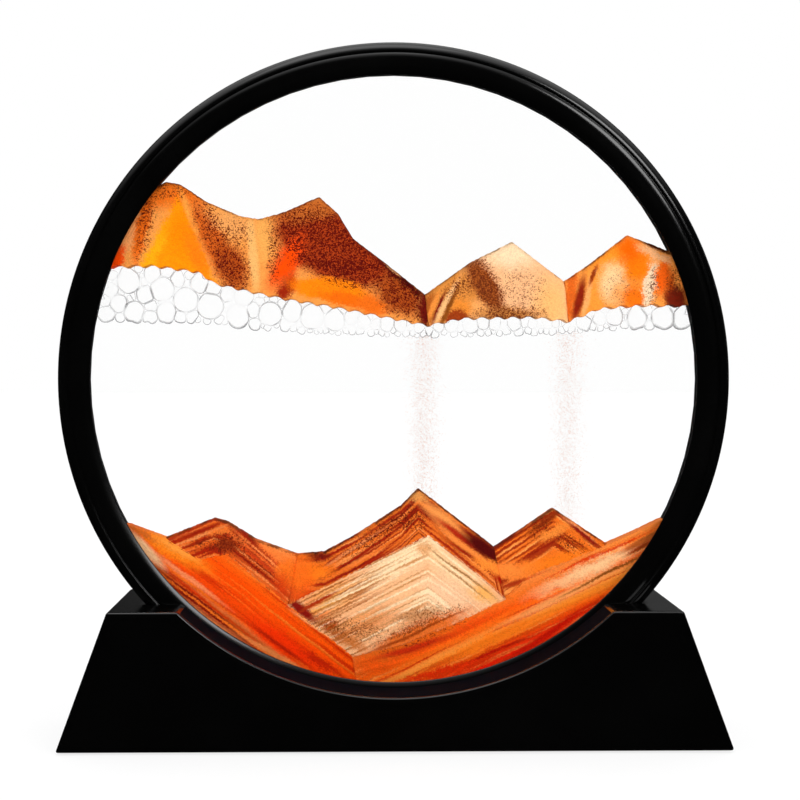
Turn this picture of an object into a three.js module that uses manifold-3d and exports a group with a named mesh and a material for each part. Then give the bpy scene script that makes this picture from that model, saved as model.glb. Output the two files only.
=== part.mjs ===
// A moving sand picture. Two round panes hold clear liquid, trapped air bubbles and coloured sand,
// a black frame in two halves closes round their rim, and the frame stands in the curved slot of a
// hollow trapezoid stand, where it can be turned over or lifted out.
// Millimetres, +Z up, the front faces -Y, and the origin is on the table under the middle of the stand.
import * as THREE from "three";
import { mergeVertices } from "three/addons/utils/BufferGeometryUtils.js";
import Module from "manifold-3d";

const wasm = await Module();
wasm.setup();

// Round frame
const FRAME_R = 89; // outside radius, a 7 inch picture
const FRAME_BAND = 8.7; // width of the black band seen from the front
const REAR_BAND = 5.7; // the same at the back, where it stays hidden behind the front band
const FRAME_EDGE_ROUND = 2.7; // rounding of the outer edge
const FRAME_WALL = 2.7; // outer wall round the panes
const LIP_T = 1.3; // the frame's lip in front of a pane
const LIP_EDGE = 0.5; // the lip's thin inner edge
const LIP_BEVEL = 2.4; // width of the slope from the front lip's face to its inner edge
const REAR_BEVEL = 0.6;
const SHOULDER_W = 2; // slope from the flat face out to the foot of the rounded edge
const CREASE_W = 0.25; // steep side of the crease between that slope and the rounded edge
const CREASE_DEEP = 0.4;
const TONGUE_W = 1; // tongue on the rear half, which fits a groove in the front half
const TONGUE_LONG = 2.4;
const TONGUE_PLAY = 0.15;

// Sealed cell inside the frame
const GLASS_T = 3;
const GLASS_CHAMFER = 0.5;
const CELL_GAP = 6; // liquid space between the panes
const SPACER_W = 3.3; // from the spacer's outside to the liquid
const SPACER_INSET = 0.6; // how far the spacer stays inside the panes' rim
const GASKET_T = 0.4;
const GASKET_W = 1.6;
const TAPE_T = 0.3; // sealing tape round the rim of the cell
const PORT_R = 1.6; // filling port through the spacer
const PLUG_TAPER = 0.3;

// Stand
const STAND_LAND = 7.1; // flat top past each end of the slot
const STAND_SPLAY = 13.2; // how far each end spreads from the top to the rim
const STAND_DEPTH = 45;
const STAND_HEIGHT = 36; // from the lower rim to the flat top
const STAND_WALL = 2.4;
const STAND_BEVEL = 0.8;
const CRADLE_COVER = 7.6; // how far the stand's cheeks reach up over the frame's band
const COVER_T = 2.5; // screwed plate that closes the stand from below
const FLOOR_GAP = 1.1; // between that plate and the bottom of the slot
const FOOT_R = 5.5;
const FOOT_T = 1.5;
const FOOT_PROUD = 0.5; // how far a foot stands out below the rim
const FOOT_INSET = 8; // from a foot's middle to the end of the plate
const BOSS_R = 3.4;
const SCREW_TO_FOOT = 2.3; // between a screw's head and the foot beside it, along the stand
const SCREW_R = 1.4;
const SCREW_HEAD_R = 2.8;
const SCREW_HEAD_T = 1.4;
const SCREW_LONG = 10;
const SCREW_TIP = 1.6;
const RECESS_LONG = 3;
const RECESS_WIDE = 0.7;
const RECESS_DEEP = 0.8;

// Clearances
const RUN_GAP = 0.3; // frame to slot
const TAPE_GAP = 0.25; // tape to the panes and to the frame
const SEAT_GAP = 0.1; // pieces that are pressed or glued together
const FILL_GAP = 0.2; // between neighbours inside the cell
const SCREW_GAP = 0.15;

// Facets
const ROUND_SIDES = 72;
const SMALL_SIDES = 20;
const EDGE_STEPS = 3;
const CRADLE_STEPS = 14;
const BULGE_STEPS = 3;

// Sizes that follow from those above
const CELL_T = CELL_GAP + 2 * GLASS_T;
const FRAME_HALF_T = CELL_T / 2 + GASKET_T + SEAT_GAP + LIP_T;
const APERTURE_R = FRAME_R - FRAME_BAND;
const REAR_APERTURE_R = FRAME_R - REAR_BAND;
const POCKET_R = FRAME_R - FRAME_WALL;
const GLASS_R = POCKET_R - TAPE_T - 2 * TAPE_GAP;
const SPACER_R = GLASS_R - SPACER_INSET;
const SPACER_INNER_R = SPACER_R - SPACER_W;
const LIP_BACK_Y = FRAME_HALF_T - LIP_T;
const PARTING_Y = SEAT_GAP / 2;
const SLOT_R = FRAME_R + RUN_GAP;
const SLOT_W = 2 * (FRAME_HALF_T + RUN_GAP);
const CHEEK_R = FRAME_R - CRADLE_COVER;
const RIM_Z = FOOT_PROUD;
const STAND_TOP_Z = RIM_Z + STAND_HEIGHT;
const COVER_TOP_Z = RIM_Z + COVER_T;
const FRAME_Z = COVER_TOP_Z + FLOOR_GAP + STAND_WALL + SLOT_R;
const FRAME_RISE = FRAME_Z - STAND_TOP_Z;
const STAND_TOP_HALF = Math.sqrt(SLOT_R ** 2 - FRAME_RISE ** 2) + STAND_LAND;
const STAND_HALF = STAND_TOP_HALF + STAND_SPLAY;
const SPAN = 2 * FRAME_R; // longer than any cut needs

// Materials
const paint = (color, roughness, metalness = 0) =>
  new THREE.MeshStandardMaterial({ color, roughness, metalness });
const clear = (color, opacity) =>
  new THREE.MeshStandardMaterial({ color, roughness: 0.05, transparent: true, opacity });
const BLACK_GLOSS = paint(0x050506, 0.22);
const BLACK_SATIN = paint(0x08080a, 0.35);
const RUBBER = paint(0x1b1b1c, 0.85);
const STEEL = paint(0x9a9ca0, 0.35, 1);
const GLASS = clear(0xf4fbfa, 0.15);
const SILICONE = paint(0x17171a, 0.6);
const TAPE = paint(0x2a2a2c, 0.6);
const LIQUID = clear(0xfdfdfd, 0.06);
const BUBBLES = clear(0xf3f3f4, 0.5);
const ORANGE_SAND = paint(0xf26a12, 0.95);
const RUST_SAND = paint(0x9a3a0c, 0.95);
const CREAM_SAND = paint(0xf0c08c, 0.95);

// Solids and booleans
function toSolid(geometry) {
  const bare = geometry.clone();
  bare.deleteAttribute("normal");
  bare.deleteAttribute("uv");
  const merged = mergeVertices(bare, 1e-4);
  const vertProperties = merged.attributes.position.array;
  const triVerts = new Uint32Array(merged.index.array);
  return new wasm.Manifold(new wasm.Mesh({ numProp: 3, vertProperties, triVerts }));
}

function toGeometry(solid) {
  const mesh = solid.getMesh();
  const geometry = new THREE.BufferGeometry();
  geometry.setAttribute("position", new THREE.BufferAttribute(mesh.vertProperties, 3));
  geometry.setIndex(new THREE.BufferAttribute(mesh.triVerts, 1));
  geometry.computeVertexNormals();
  return geometry;
}

function named(name, geometry, material) {
  const mesh = new THREE.Mesh(geometry, material);
  mesh.name = name;
  return mesh;
}

// A solid turned about Y from [radius, y] points, which run up the outside and back down the inside.
function turned(profile, sides = ROUND_SIDES) {
  return new THREE.LatheGeometry(
    profile.map(([radius, y]) => new THREE.Vector2(radius, y)),
    sides,
  );
}

const disc = (radius, low, high, sides) =>
  turned([[0, low], [radius, low], [radius, high], [0, high]], sides);

const ring = (inner, outer, low, high) =>
  turned([[inner, low], [outer, low], [outer, high], [inner, high], [inner, low]]);

// The same, turned about a vertical axis, with the profile's y as the height.
const upright = (geometry) => geometry.rotateX(Math.PI / 2);

// An outline in the XZ plane, made solid through a depth in Y that is centred on the frame's plane.
function plate(shape, depth, options = {}) {
  const bevel = options.bevelThickness ?? 0;
  const geometry = new THREE.ExtrudeGeometry(shape, {
    depth: depth - 2 * bevel,
    bevelEnabled: false,
    ...options,
  });
  return geometry.rotateX(Math.PI / 2).translate(0, depth / 2 - bevel, 0);
}

const outlineShape = (points) => new THREE.Shape(points.map(([x, z]) => new THREE.Vector2(x, z)));

// One half of the frame, turned about Y. The front half has the groove, the rear half the tongue.
function frameHalf(apertureR, bevel, joint) {
  const roundMiddleR = FRAME_R - FRAME_EDGE_ROUND;
  const roundMiddleY = FRAME_HALF_T - FRAME_EDGE_ROUND;
  const rounded = [];
  for (let i = 0; i <= EDGE_STEPS; i += 1) {
    const turn = (i / EDGE_STEPS) * (Math.PI / 2);
    const radius = roundMiddleR + FRAME_EDGE_ROUND * Math.cos(turn);
    rounded.push([radius, roundMiddleY + FRAME_EDGE_ROUND * Math.sin(turn)]);
  }
  return turned([
    [FRAME_R, PARTING_Y],
    ...rounded,
    [roundMiddleR - CREASE_W, FRAME_HALF_T - CREASE_DEEP],
    [roundMiddleR - SHOULDER_W, FRAME_HALF_T],
    [apertureR + bevel, FRAME_HALF_T],
    [apertureR, LIP_BACK_Y + LIP_EDGE],
    [apertureR, LIP_BACK_Y],
    [POCKET_R, LIP_BACK_Y],
    [POCKET_R, PARTING_Y],
    ...joint,
    [FRAME_R, PARTING_Y],
  ]);
}

const TONGUE_MIDDLE_R = POCKET_R + FRAME_WALL / 2;

// Corners of the tongue or of its groove: how wide it is, and how far it reaches from the parting plane.
const jointStep = (width, reach) => [
  [TONGUE_MIDDLE_R - width / 2, PARTING_Y],
  [TONGUE_MIDDLE_R - width / 2, reach],
  [TONGUE_MIDDLE_R + width / 2, reach],
  [TONGUE_MIDDLE_R + width / 2, PARTING_Y],
];

function frontFrame() {
  const groove = jointStep(TONGUE_W + 2 * TONGUE_PLAY, TONGUE_LONG + TONGUE_PLAY);
  const half = frameHalf(APERTURE_R, LIP_BEVEL, groove);
  return named("front_frame_half", half.rotateX(Math.PI), BLACK_GLOSS);
}

function rearFrame() {
  const tongue = jointStep(TONGUE_W, -TONGUE_LONG);
  return named("rear_frame_half", frameHalf(REAR_APERTURE_R, REAR_BEVEL, tongue), BLACK_GLOSS);
}

// A pane with its rim chamfered, from its inner face outwards along Y.
function pane() {
  return turned([
    [0, 0],
    [GLASS_R - GLASS_CHAMFER, 0],
    [GLASS_R, GLASS_CHAMFER],
    [GLASS_R, GLASS_T - GLASS_CHAMFER],
    [GLASS_R - GLASS_CHAMFER, GLASS_T],
    [0, GLASS_T],
  ]);
}

function panes() {
  const front = named("front_glass", pane().rotateX(Math.PI), GLASS);
  const rear = named("rear_glass", pane(), GLASS);
  front.position.y = -CELL_GAP / 2;
  rear.position.y = CELL_GAP / 2;
  return [front, rear];
}

function gaskets() {
  const outer = GLASS_R - GLASS_CHAMFER;
  const front = named("front_gasket", ring(outer - GASKET_W, outer, -GASKET_T, 0), RUBBER);
  const rear = named("rear_gasket", ring(outer - GASKET_W, outer, 0, GASKET_T), RUBBER);
  front.position.y = -CELL_T / 2;
  rear.position.y = CELL_T / 2;
  return [front, rear];
}

function sealingTape() {
  const inner = GLASS_R + TAPE_GAP;
  const reach = CELL_T / 2 - GLASS_CHAMFER;
  return named("edge_seal_tape", ring(inner, inner + TAPE_T, -reach, reach), TAPE);
}

// The silicone ring that keeps the panes apart, with the filling port at its top.
function spacer() {
  const reach = CELL_GAP / 2 - SEAT_GAP;
  const wholeRing = toSolid(ring(SPACER_INNER_R, SPACER_R, -reach, reach));
  const port = toSolid(upright(disc(PORT_R, 0, SPAN, SMALL_SIDES)));
  return named("spacer_ring", toGeometry(wholeRing.subtract(port)), SILICONE);
}

// A tapered stopper in the port, flush with the spacer's inside and with the panes' rim.
function fillPlug() {
  const seatR = PORT_R - SEAT_GAP;
  const top = GLASS_R - SEAT_GAP;
  const profile = [[0, SPACER_INNER_R], [seatR - PLUG_TAPER, SPACER_INNER_R], [seatR, top], [0, top]];
  return named("fill_plug", upright(turned(profile, SMALL_SIDES)), RUBBER);
}

// Outlines of what fills the cell, as [x, z] from its middle in hundredths of its radius. REACH is past
// the cell's wall, where every outline is trimmed.
const REACH = 130;
const CELL_R = SPACER_INNER_R - FILL_GAP;
const FILL_T = CELL_GAP - 2 * FILL_GAP;

const inCell = (points) => points.map((point) => point.map((share) => (share / 100) * SPACER_INNER_R));

const UPPER_LEFT_CREST = inCell([
  [-REACH, 46], [-88, 53], [-80, 61], [-74.5, 64.2], [-70, 63.4], [-61.4, 57.7], [-50.3, 53],
  [-44.2, 52.1], [-35.6, 54.5], [-24.6, 59.4], [-18.4, 53.8], [-13.5, 45.7], [-3.7, 38.3], [10.1, 27.4],
]);
const UPPER_MIDDLE_CREST = inCell([[10.1, 27.4], [25.2, 38.1], [38.6, 44.7], [55.8, 31.7]]);
const UPPER_RIGHT_CREST = inCell([[55.8, 31.7], [64.5, 37.6], [76.6, 47], [REACH, 26.4]]);
const RAFT_TOP_LEFT = inCell([
  [-REACH, 35.6], [-78.6, 36.6], [-63.9, 34.6], [-58.9, 30.9], [-49.1, 28.7], [-35.6, 25.8],
  [-19.6, 23.2], [2.5, 18.9], [11.4, 17.2],
]);
const RAFT_TOP_MIDDLE = inCell([[11.4, 17.2], [22.1, 19.5], [46.7, 19.9], [57.1, 18.5]]);
const RAFT_TOP_RIGHT = inCell([[57.1, 18.5], [67.5, 22.8], [81, 23.8], [REACH, 23.3]]);
const RAFT_BOTTOM = inCell([
  [-REACH, 20.9], [-62.6, 18.4], [-29.5, 15.7], [9.2, 14.5], [56.5, 15.5], [68.8, 16.9], [REACH, 17.9],
]);
const BUBBLE_PITCH = 4.4;
const BUBBLE_BULGE = 0.8;
const LEFT_DUNE_CREST = inCell([[-REACH, -31.9], [-74.9, -52.2]]);
const LEFT_HILL_CREST = inCell([
  [-74.9, -52.2], [-58.9, -45.8], [-54.8, -47], [-45.4, -52.8], [-31.9, -57.7],
]);
const MIDDLE_HILL_CREST = inCell([
  [-31.9, -57.7], [-22.7, -56.9], [-12, -51.1], [2.5, -41.8], [7.9, -36.2], [32.9, -55.6],
]);
const RIGHT_HILL_CREST = inCell([[32.9, -55.6], [42.1, -49.6], [52.2, -42.7], [70, -54.5]]);
const RIGHT_DUNE_CREST = inCell([[70, -54.5], [78.6, -50.8], [87.2, -46.7], [REACH, -28.7]]);
const LEFT_HILL_FOOT = inCell([[-74.9, -52.2], [-63.9, -58.9], [-54.6, -57.1], [-34.9, -74]]);
const PALE_PEAK_LEFT = inCell([[-34.9, -74], [11.1, -51.2]]);
const PALE_PEAK_RIGHT = inCell([[11.1, -51.2], [25.8, -62.6], [36.6, -72.1]]);
const PALE_PEAK_FOOT = inCell([[-34.9, -74], [-13.8, -90.9]]);
const RIGHT_DUNE_BACK = inCell([[-13.8, -90.9], [2.5, -87.2], [18.9, -80.6], [36.6, -72.1]]);
const RIGHT_HILL_FOOT = inCell([[36.6, -72.1], [44.2, -64.6], [70, -54.5]]);
const DUNE_SEAM = inCell([[-13.8, -90.9], [-7.4, -REACH]]);

const reversed = (line) => [...line].reverse();

// A line drawn again as a row of bulges, one for each bubble along it; a positive bulge goes up.
function bubbled(line, bulge) {
  const path = new THREE.CurvePath();
  for (let i = 1; i < line.length; i += 1) {
    const from = new THREE.Vector2(...line[i - 1]);
    const to = new THREE.Vector2(...line[i]);
    path.add(new THREE.LineCurve(from, to));
  }
  const bubbles = Math.max(1, Math.round(path.getLength() / BUBBLE_PITCH));
  const steps = bubbles * BULGE_STEPS;
  const points = [];
  for (let i = 0; i <= steps; i += 1) {
    const along = path.getPointAt(i / steps);
    const across = ((i % BULGE_STEPS) / BULGE_STEPS) * 2 - 1;
    points.push([along.x, along.y + bulge * (1 - across * across)]);
  }
  return points;
}

// An outline without its repeated points, drawn in by half of the gap that neighbours keep.
function drawnIn(outline) {
  const points = outline.filter(([x, z], i) => {
    const [px, pz] = outline[(i + outline.length - 1) % outline.length];
    return Math.hypot(x - px, z - pz) > 1e-6;
  });
  const spin = THREE.ShapeUtils.isClockWise(points.map(([x, y]) => ({ x, y }))) ? -1 : 1;
  const inward = ([x0, z0], [x1, z1]) => {
    const length = Math.hypot(x1 - x0, z1 - z0);
    return [(-spin * (z1 - z0)) / length, (spin * (x1 - x0)) / length];
  };
  return points.map((point, i) => {
    const [ax, az] = inward(points[(i + points.length - 1) % points.length], point);
    const [bx, bz] = inward(point, points[(i + 1) % points.length]);
    const share = FILL_GAP / 2 / Math.max(0.3, 1 + ax * bx + az * bz);
    return [point[0] + (ax + bx) * share, point[1] + (az + bz) * share];
  });
}

// One piece of the cell's filling: its outline between the panes, trimmed to the round wall.
function filling(name, material, ...lines) {
  const slab = toSolid(plate(outlineShape(drawnIn(lines.flat())), FILL_T));
  const room = toSolid(disc(CELL_R, -CELL_GAP, CELL_GAP));
  return named(name, toGeometry(slab.intersect(room)), material);
}

function contents() {
  const topLeft = bubbled(RAFT_TOP_LEFT, BUBBLE_BULGE);
  const topMiddle = bubbled(RAFT_TOP_MIDDLE, BUBBLE_BULGE);
  const topRight = bubbled(RAFT_TOP_RIGHT, BUBBLE_BULGE);
  const raftBottom = bubbled(RAFT_BOTTOM, -BUBBLE_BULGE);
  const upperCrest = [UPPER_LEFT_CREST, UPPER_MIDDLE_CREST, UPPER_RIGHT_CREST];
  const leftCrest = [...LEFT_DUNE_CREST, ...LEFT_HILL_CREST];
  const lowerCrest = [...leftCrest, ...MIDDLE_HILL_CREST, ...RIGHT_HILL_CREST, ...RIGHT_DUNE_CREST];
  const above = inCell([[REACH, REACH], [-REACH, REACH]]);
  const leftBelow = inCell([[-REACH, -REACH]]);
  const rightBelow = inCell([[REACH, -REACH]]);
  return [
    filling("upper_liquid", LIQUID, ...upperCrest, above),
    filling("upper_sand_left_heap", RUST_SAND, UPPER_LEFT_CREST, reversed(topLeft)),
    filling("upper_sand_middle_heap", CREAM_SAND, UPPER_MIDDLE_CREST, reversed(topMiddle)),
    filling("upper_sand_right_heap", ORANGE_SAND, UPPER_RIGHT_CREST, reversed(topRight)),
    filling("bubble_raft", BUBBLES, topLeft, topMiddle, topRight, reversed(raftBottom)),
    filling("lower_liquid", LIQUID, raftBottom, reversed(lowerCrest)),
    filling("lower_sand_left_hill", RUST_SAND, LEFT_HILL_CREST, reversed(LEFT_HILL_FOOT)),
    filling(
      "lower_sand_middle_hill",
      RUST_SAND,
      MIDDLE_HILL_CREST,
      reversed(PALE_PEAK_RIGHT),
      reversed(PALE_PEAK_LEFT),
    ),
    filling("lower_sand_right_hill", ORANGE_SAND, RIGHT_HILL_CREST, reversed(RIGHT_HILL_FOOT)),
    filling(
      "lower_sand_pale_peak",
      CREAM_SAND,
      PALE_PEAK_LEFT,
      PALE_PEAK_RIGHT,
      reversed(RIGHT_DUNE_BACK),
      reversed(PALE_PEAK_FOOT),
    ),
    filling(
      "lower_sand_left_dune",
      ORANGE_SAND,
      LEFT_DUNE_CREST,
      LEFT_HILL_FOOT,
      PALE_PEAK_FOOT,
      DUNE_SEAM,
      leftBelow,
    ),
    filling(
      "lower_sand_right_dune",
      ORANGE_SAND,
      RIGHT_DUNE_CREST,
      rightBelow,
      reversed(DUNE_SEAM),
      RIGHT_DUNE_BACK,
      RIGHT_HILL_FOOT,
    ),
  ];
}

// Half the stand's width at a height, which shrinks evenly up to the flat top.
function standHalfWidth(z) {
  const share = (z - RIM_Z) / STAND_HEIGHT;
  return STAND_HALF - STAND_SPLAY * share;
}

// How much of that width one sloping end wall takes.
const END_WALL = STAND_WALL * Math.hypot(1, STAND_SPLAY / STAND_HEIGHT);

const acrossFrame = (radius, width) =>
  toSolid(disc(radius, -width / 2, width / 2)).translate([0, 0, FRAME_Z]);

// The stand seen from the front: a trapezoid with a round dip, as wide as the cheeks leave it.
function standOutline() {
  const dipHalf = Math.sqrt(CHEEK_R ** 2 - FRAME_RISE ** 2);
  const start = Math.atan2(-FRAME_RISE, dipHalf);
  const shape = new THREE.Shape();
  shape.moveTo(-STAND_HALF, RIM_Z);
  shape.lineTo(STAND_HALF, RIM_Z);
  shape.lineTo(STAND_TOP_HALF, STAND_TOP_Z);
  shape.lineTo(dipHalf, STAND_TOP_Z);
  shape.absarc(0, FRAME_Z, CHEEK_R, start, -Math.PI - start, true);
  shape.lineTo(-STAND_TOP_HALF, STAND_TOP_Z);
  return shape;
}

// The stand's inside, open below, which leaves a wall round the dip and round the slot.
function standHollow() {
  const ceiling = STAND_TOP_Z - STAND_WALL;
  const floor = RIM_Z - STAND_WALL;
  const high = standHalfWidth(ceiling) - END_WALL;
  const low = standHalfWidth(floor) - END_WALL;
  const outline = outlineShape([[-low, floor], [low, floor], [high, ceiling], [-high, ceiling]]);
  return toSolid(plate(outline, STAND_DEPTH - 2 * STAND_WALL))
    .subtract(acrossFrame(CHEEK_R + STAND_WALL, SPAN))
    .subtract(acrossFrame(SLOT_R + STAND_WALL, SLOT_W + 2 * STAND_WALL));
}

// Plate, feet and screws: the screws stand beside the feet, midway between the slot and the long walls.
const COVER_HALF_WIDTH = standHalfWidth(COVER_TOP_Z) - END_WALL - RUN_GAP;
const COVER_DEPTH = STAND_DEPTH - 2 * STAND_WALL - 2 * RUN_GAP;
const FOOT_X = COVER_HALF_WIDTH - FOOT_INSET;
const FOOT_Y = COVER_DEPTH / 2 - FOOT_INSET;
const BOSS_X = FOOT_X - FOOT_R - SCREW_TO_FOOT - SCREW_HEAD_R;
const BOSS_Y = (SLOT_W / 2 + STAND_DEPTH / 2) / 2;
const SCREW_HEAD_Z = RIM_Z + SEAT_GAP;

const atCorners = (x, y) => [[-x, -y], [x, -y], [x, y], [-x, y]];
const footPlaces = atCorners(FOOT_X, FOOT_Y);
const bossPlaces = atCorners(BOSS_X, BOSS_Y);

function standShell() {
  const block = plate(standOutline(), STAND_DEPTH, {
    bevelEnabled: true,
    bevelThickness: STAND_BEVEL,
    bevelSize: STAND_BEVEL,
    bevelOffset: -STAND_BEVEL,
    bevelSegments: 2,
    curveSegments: CRADLE_STEPS,
  });
  let shell = toSolid(block).subtract(standHollow()).subtract(acrossFrame(SLOT_R, SLOT_W));
  const bossFoot = COVER_TOP_Z + SEAT_GAP;
  const boss = toSolid(upright(disc(BOSS_R, bossFoot, STAND_TOP_Z - STAND_WALL / 2, SMALL_SIDES)));
  const pilotTop = SCREW_HEAD_Z + SCREW_LONG + SCREW_TIP + RUN_GAP;
  const pilot = toSolid(upright(disc(SCREW_R + SCREW_GAP, RIM_Z, pilotTop, SMALL_SIDES)));
  for (const [x, y] of bossPlaces) {
    shell = shell.add(boss.translate([x, y, 0]));
    shell = shell.subtract(pilot.translate([x, y, 0]));
  }
  return named("stand_shell", toGeometry(shell), BLACK_SATIN);
}

// A countersunk screw, standing on its head.
const screwBlank = () =>
  turned(
    [
      [0, SCREW_HEAD_Z],
      [SCREW_HEAD_R, SCREW_HEAD_Z],
      [SCREW_R, SCREW_HEAD_Z + SCREW_HEAD_T],
      [SCREW_R, SCREW_HEAD_Z + SCREW_LONG],
      [0, SCREW_HEAD_Z + SCREW_LONG + SCREW_TIP],
    ],
    SMALL_SIDES,
  );

// Its hole in the plate, with the head's cone carried on below the plate.
const screwHole = () =>
  turned(
    [
      [0, SCREW_HEAD_Z - SCREW_HEAD_T],
      [2 * SCREW_HEAD_R - SCREW_R + SCREW_GAP, SCREW_HEAD_Z - SCREW_HEAD_T],
      [SCREW_R + SCREW_GAP, SCREW_HEAD_Z + SCREW_HEAD_T],
      [SCREW_R + SCREW_GAP, SCREW_HEAD_Z + SCREW_LONG],
      [0, SCREW_HEAD_Z + SCREW_LONG],
    ],
    SMALL_SIDES,
  );

function bottomCover() {
  const slab = new THREE.BoxGeometry(2 * COVER_HALF_WIDTH, COVER_DEPTH, COVER_T);
  let cover = toSolid(slab.translate(0, 0, RIM_Z + COVER_T / 2));
  const hole = toSolid(upright(screwHole()));
  const pocket = toSolid(upright(disc(FOOT_R + SEAT_GAP, -FOOT_T, FOOT_T, SMALL_SIDES)));
  for (const [x, y] of bossPlaces) cover = cover.subtract(hole.translate([x, y, 0]));
  for (const [x, y] of footPlaces) cover = cover.subtract(pocket.translate([x, y, 0]));
  return named("bottom_cover", toGeometry(cover), BLACK_SATIN);
}

function coverScrews() {
  const blank = toSolid(upright(screwBlank()));
  const bar = (x, y) => new THREE.BoxGeometry(x, y, 2 * RECESS_DEEP).translate(0, 0, SCREW_HEAD_Z);
  const cross = toSolid(bar(RECESS_LONG, RECESS_WIDE)).add(toSolid(bar(RECESS_WIDE, RECESS_LONG)));
  const screw = toGeometry(blank.subtract(cross));
  return bossPlaces.map(([x, y], i) => {
    const mesh = named(`cover_screw_${i + 1}`, screw, STEEL);
    mesh.position.set(x, y, 0);
    return mesh;
  });
}

function rubberFeet() {
  const foot = upright(disc(FOOT_R, 0, FOOT_T - SEAT_GAP, SMALL_SIDES));
  return footPlaces.map(([x, y], i) => {
    const mesh = named(`rubber_foot_${i + 1}`, foot, RUBBER);
    mesh.position.set(x, y, 0);
    return mesh;
  });
}

const stand = new THREE.Group();
stand.add(standShell(), bottomCover(), ...coverScrews(), ...rubberFeet());

const frame = new THREE.Group();
frame.position.z = FRAME_Z;
frame.add(frontFrame(), rearFrame(), ...panes(), ...gaskets(), sealingTape(), spacer(), fillPlug());
frame.add(...contents());

const sandPicture = new THREE.Group();
sandPicture.add(stand, frame);

export default sandPicture;
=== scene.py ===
# %% [markdown]
# A moving sand picture: two round panes hold clear liquid, air bubbles and coloured sand, a glossy
# black ring closes round them, and the ring stands in the curved slot of a black stand. The packed
# construction gives every piece its real place. This lesson dresses it: fine meshes where the
# construction is faceted, and a finish for each surface.

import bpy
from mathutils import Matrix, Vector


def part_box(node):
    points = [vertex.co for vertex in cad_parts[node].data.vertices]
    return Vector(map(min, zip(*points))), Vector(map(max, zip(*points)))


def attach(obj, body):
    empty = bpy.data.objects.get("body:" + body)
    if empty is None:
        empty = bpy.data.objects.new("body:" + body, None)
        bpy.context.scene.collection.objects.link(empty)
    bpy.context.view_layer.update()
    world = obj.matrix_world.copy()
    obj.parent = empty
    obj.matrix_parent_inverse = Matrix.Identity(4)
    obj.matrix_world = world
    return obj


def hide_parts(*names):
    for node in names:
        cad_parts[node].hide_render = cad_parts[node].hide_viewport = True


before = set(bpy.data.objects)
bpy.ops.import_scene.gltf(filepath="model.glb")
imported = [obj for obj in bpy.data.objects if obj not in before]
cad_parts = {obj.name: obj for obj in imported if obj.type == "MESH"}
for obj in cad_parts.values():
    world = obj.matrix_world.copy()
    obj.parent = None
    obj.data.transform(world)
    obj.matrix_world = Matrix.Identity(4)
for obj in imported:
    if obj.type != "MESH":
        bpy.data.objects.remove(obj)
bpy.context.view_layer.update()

# %% Modules and units
import math

import bmesh
import bpy
import numpy as np
from mathutils import Vector, noise

MM = 0.001
scene = bpy.context.scene
ring_low, ring_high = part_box("front_frame_half")
MIDDLE_Z = (ring_low.z + ring_high.z) / 2 / MM
MIDDLE = Vector((0, 0, MIDDLE_Z * MM))
print("the ring turns about a line", round(MIDDLE_Z, 2), "mm above the table")

# %% [markdown]
# Shader maths reads best as ordinary Python. This small class wraps one output of a node, and its
# operators add Math nodes to the same tree. Every other kind of node comes from one method: the
# node's kind, its settings, then the values or links of its sockets.

# %% A wire that does maths
class Wire:
    def __init__(self, tree, socket=None):
        self.tree = tree
        self.socket = socket

    def node(self, kind, settings=None, sockets=None, out=0):
        made = self.tree.nodes.new("ShaderNode" + kind)
        for key, value in (settings or {}).items():
            if key == "stops":
                self.set_stops(made.color_ramp.elements, value)
            else:
                setattr(made, key, value)
        for key, value in (sockets or {}).items():
            if isinstance(value, Wire):
                self.tree.links.new(value.socket, made.inputs[key])
            else:
                made.inputs[key].default_value = value
        return Wire(self.tree, made.outputs[out] if made.outputs else None)

    @staticmethod
    def set_stops(elements, stops):
        while len(elements) < len(stops):
            elements.new(1.0)
        for element, (place, tint) in zip(elements, stops):
            element.position = place
            element.color = tint

    def other(self, out):
        """Another output of the node that this wire comes from."""
        return Wire(self.tree, self.socket.node.outputs[out])

    def math(self, operation, *values):
        return self.node("Math", {"operation": operation}, dict(enumerate(values)))

    def __add__(self, other):
        return self.math("ADD", self, other)

    def __radd__(self, other):
        return self.math("ADD", other, self)

    def __sub__(self, other):
        return self.math("SUBTRACT", self, other)

    def __rsub__(self, other):
        return self.math("SUBTRACT", other, self)

    def __mul__(self, other):
        return self.math("MULTIPLY", self, other)

    def __rmul__(self, other):
        return self.math("MULTIPLY", other, self)

    def __truediv__(self, other):
        return self.math("DIVIDE", self, other)

    def __rtruediv__(self, other):
        return self.math("DIVIDE", other, self)

    def __abs__(self):
        return self.math("ABSOLUTE", self)

    def fade(self, start, end):
        """0 at start and 1 at end, eased between them."""
        ease = {"interpolation_type": "SMOOTHSTEP"}
        return self.node("MapRange", ease, {"Value": self, "From Min": start, "From Max": end})

    def mix(self, under, over):
        """The colour under where this is 0, and the colour over where it is 1."""
        return self.node("Mix", {"data_type": "RGBA"}, {0: self, 6: under, 7: over}, out=2)

    def ramp(self, *stops):
        """Colours along this value: each stop is a value from 0 to 1 and the colour there."""
        return self.node("ValToRGB", {"stops": stops}, {"Fac": self})

    def vector(self, operation, *values, out=0):
        return self.node("VectorMath", {"operation": operation}, dict(enumerate(values)), out)

    def cloud(self, scale, detail, out=0):
        """Soft noise over the places that this wire gives."""
        return self.node("TexNoise", None, {"Vector": self, "Scale": scale, "Detail": detail}, out)


# %% Colours and finishes
def colour(code):
    """A colour as it looks on a screen, six hexadecimal digits, as the light it stands for."""
    shares = [int(code[i : i + 2], 16) / 255 for i in (0, 2, 4)]
    light = [s / 12.92 if s <= 0.04045 else ((s + 0.055) / 1.055) ** 2.4 for s in shares]
    return (*light, 1.0)


def grey(share):
    return (share, share, share, 1)


WHITE = grey(1)


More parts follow.
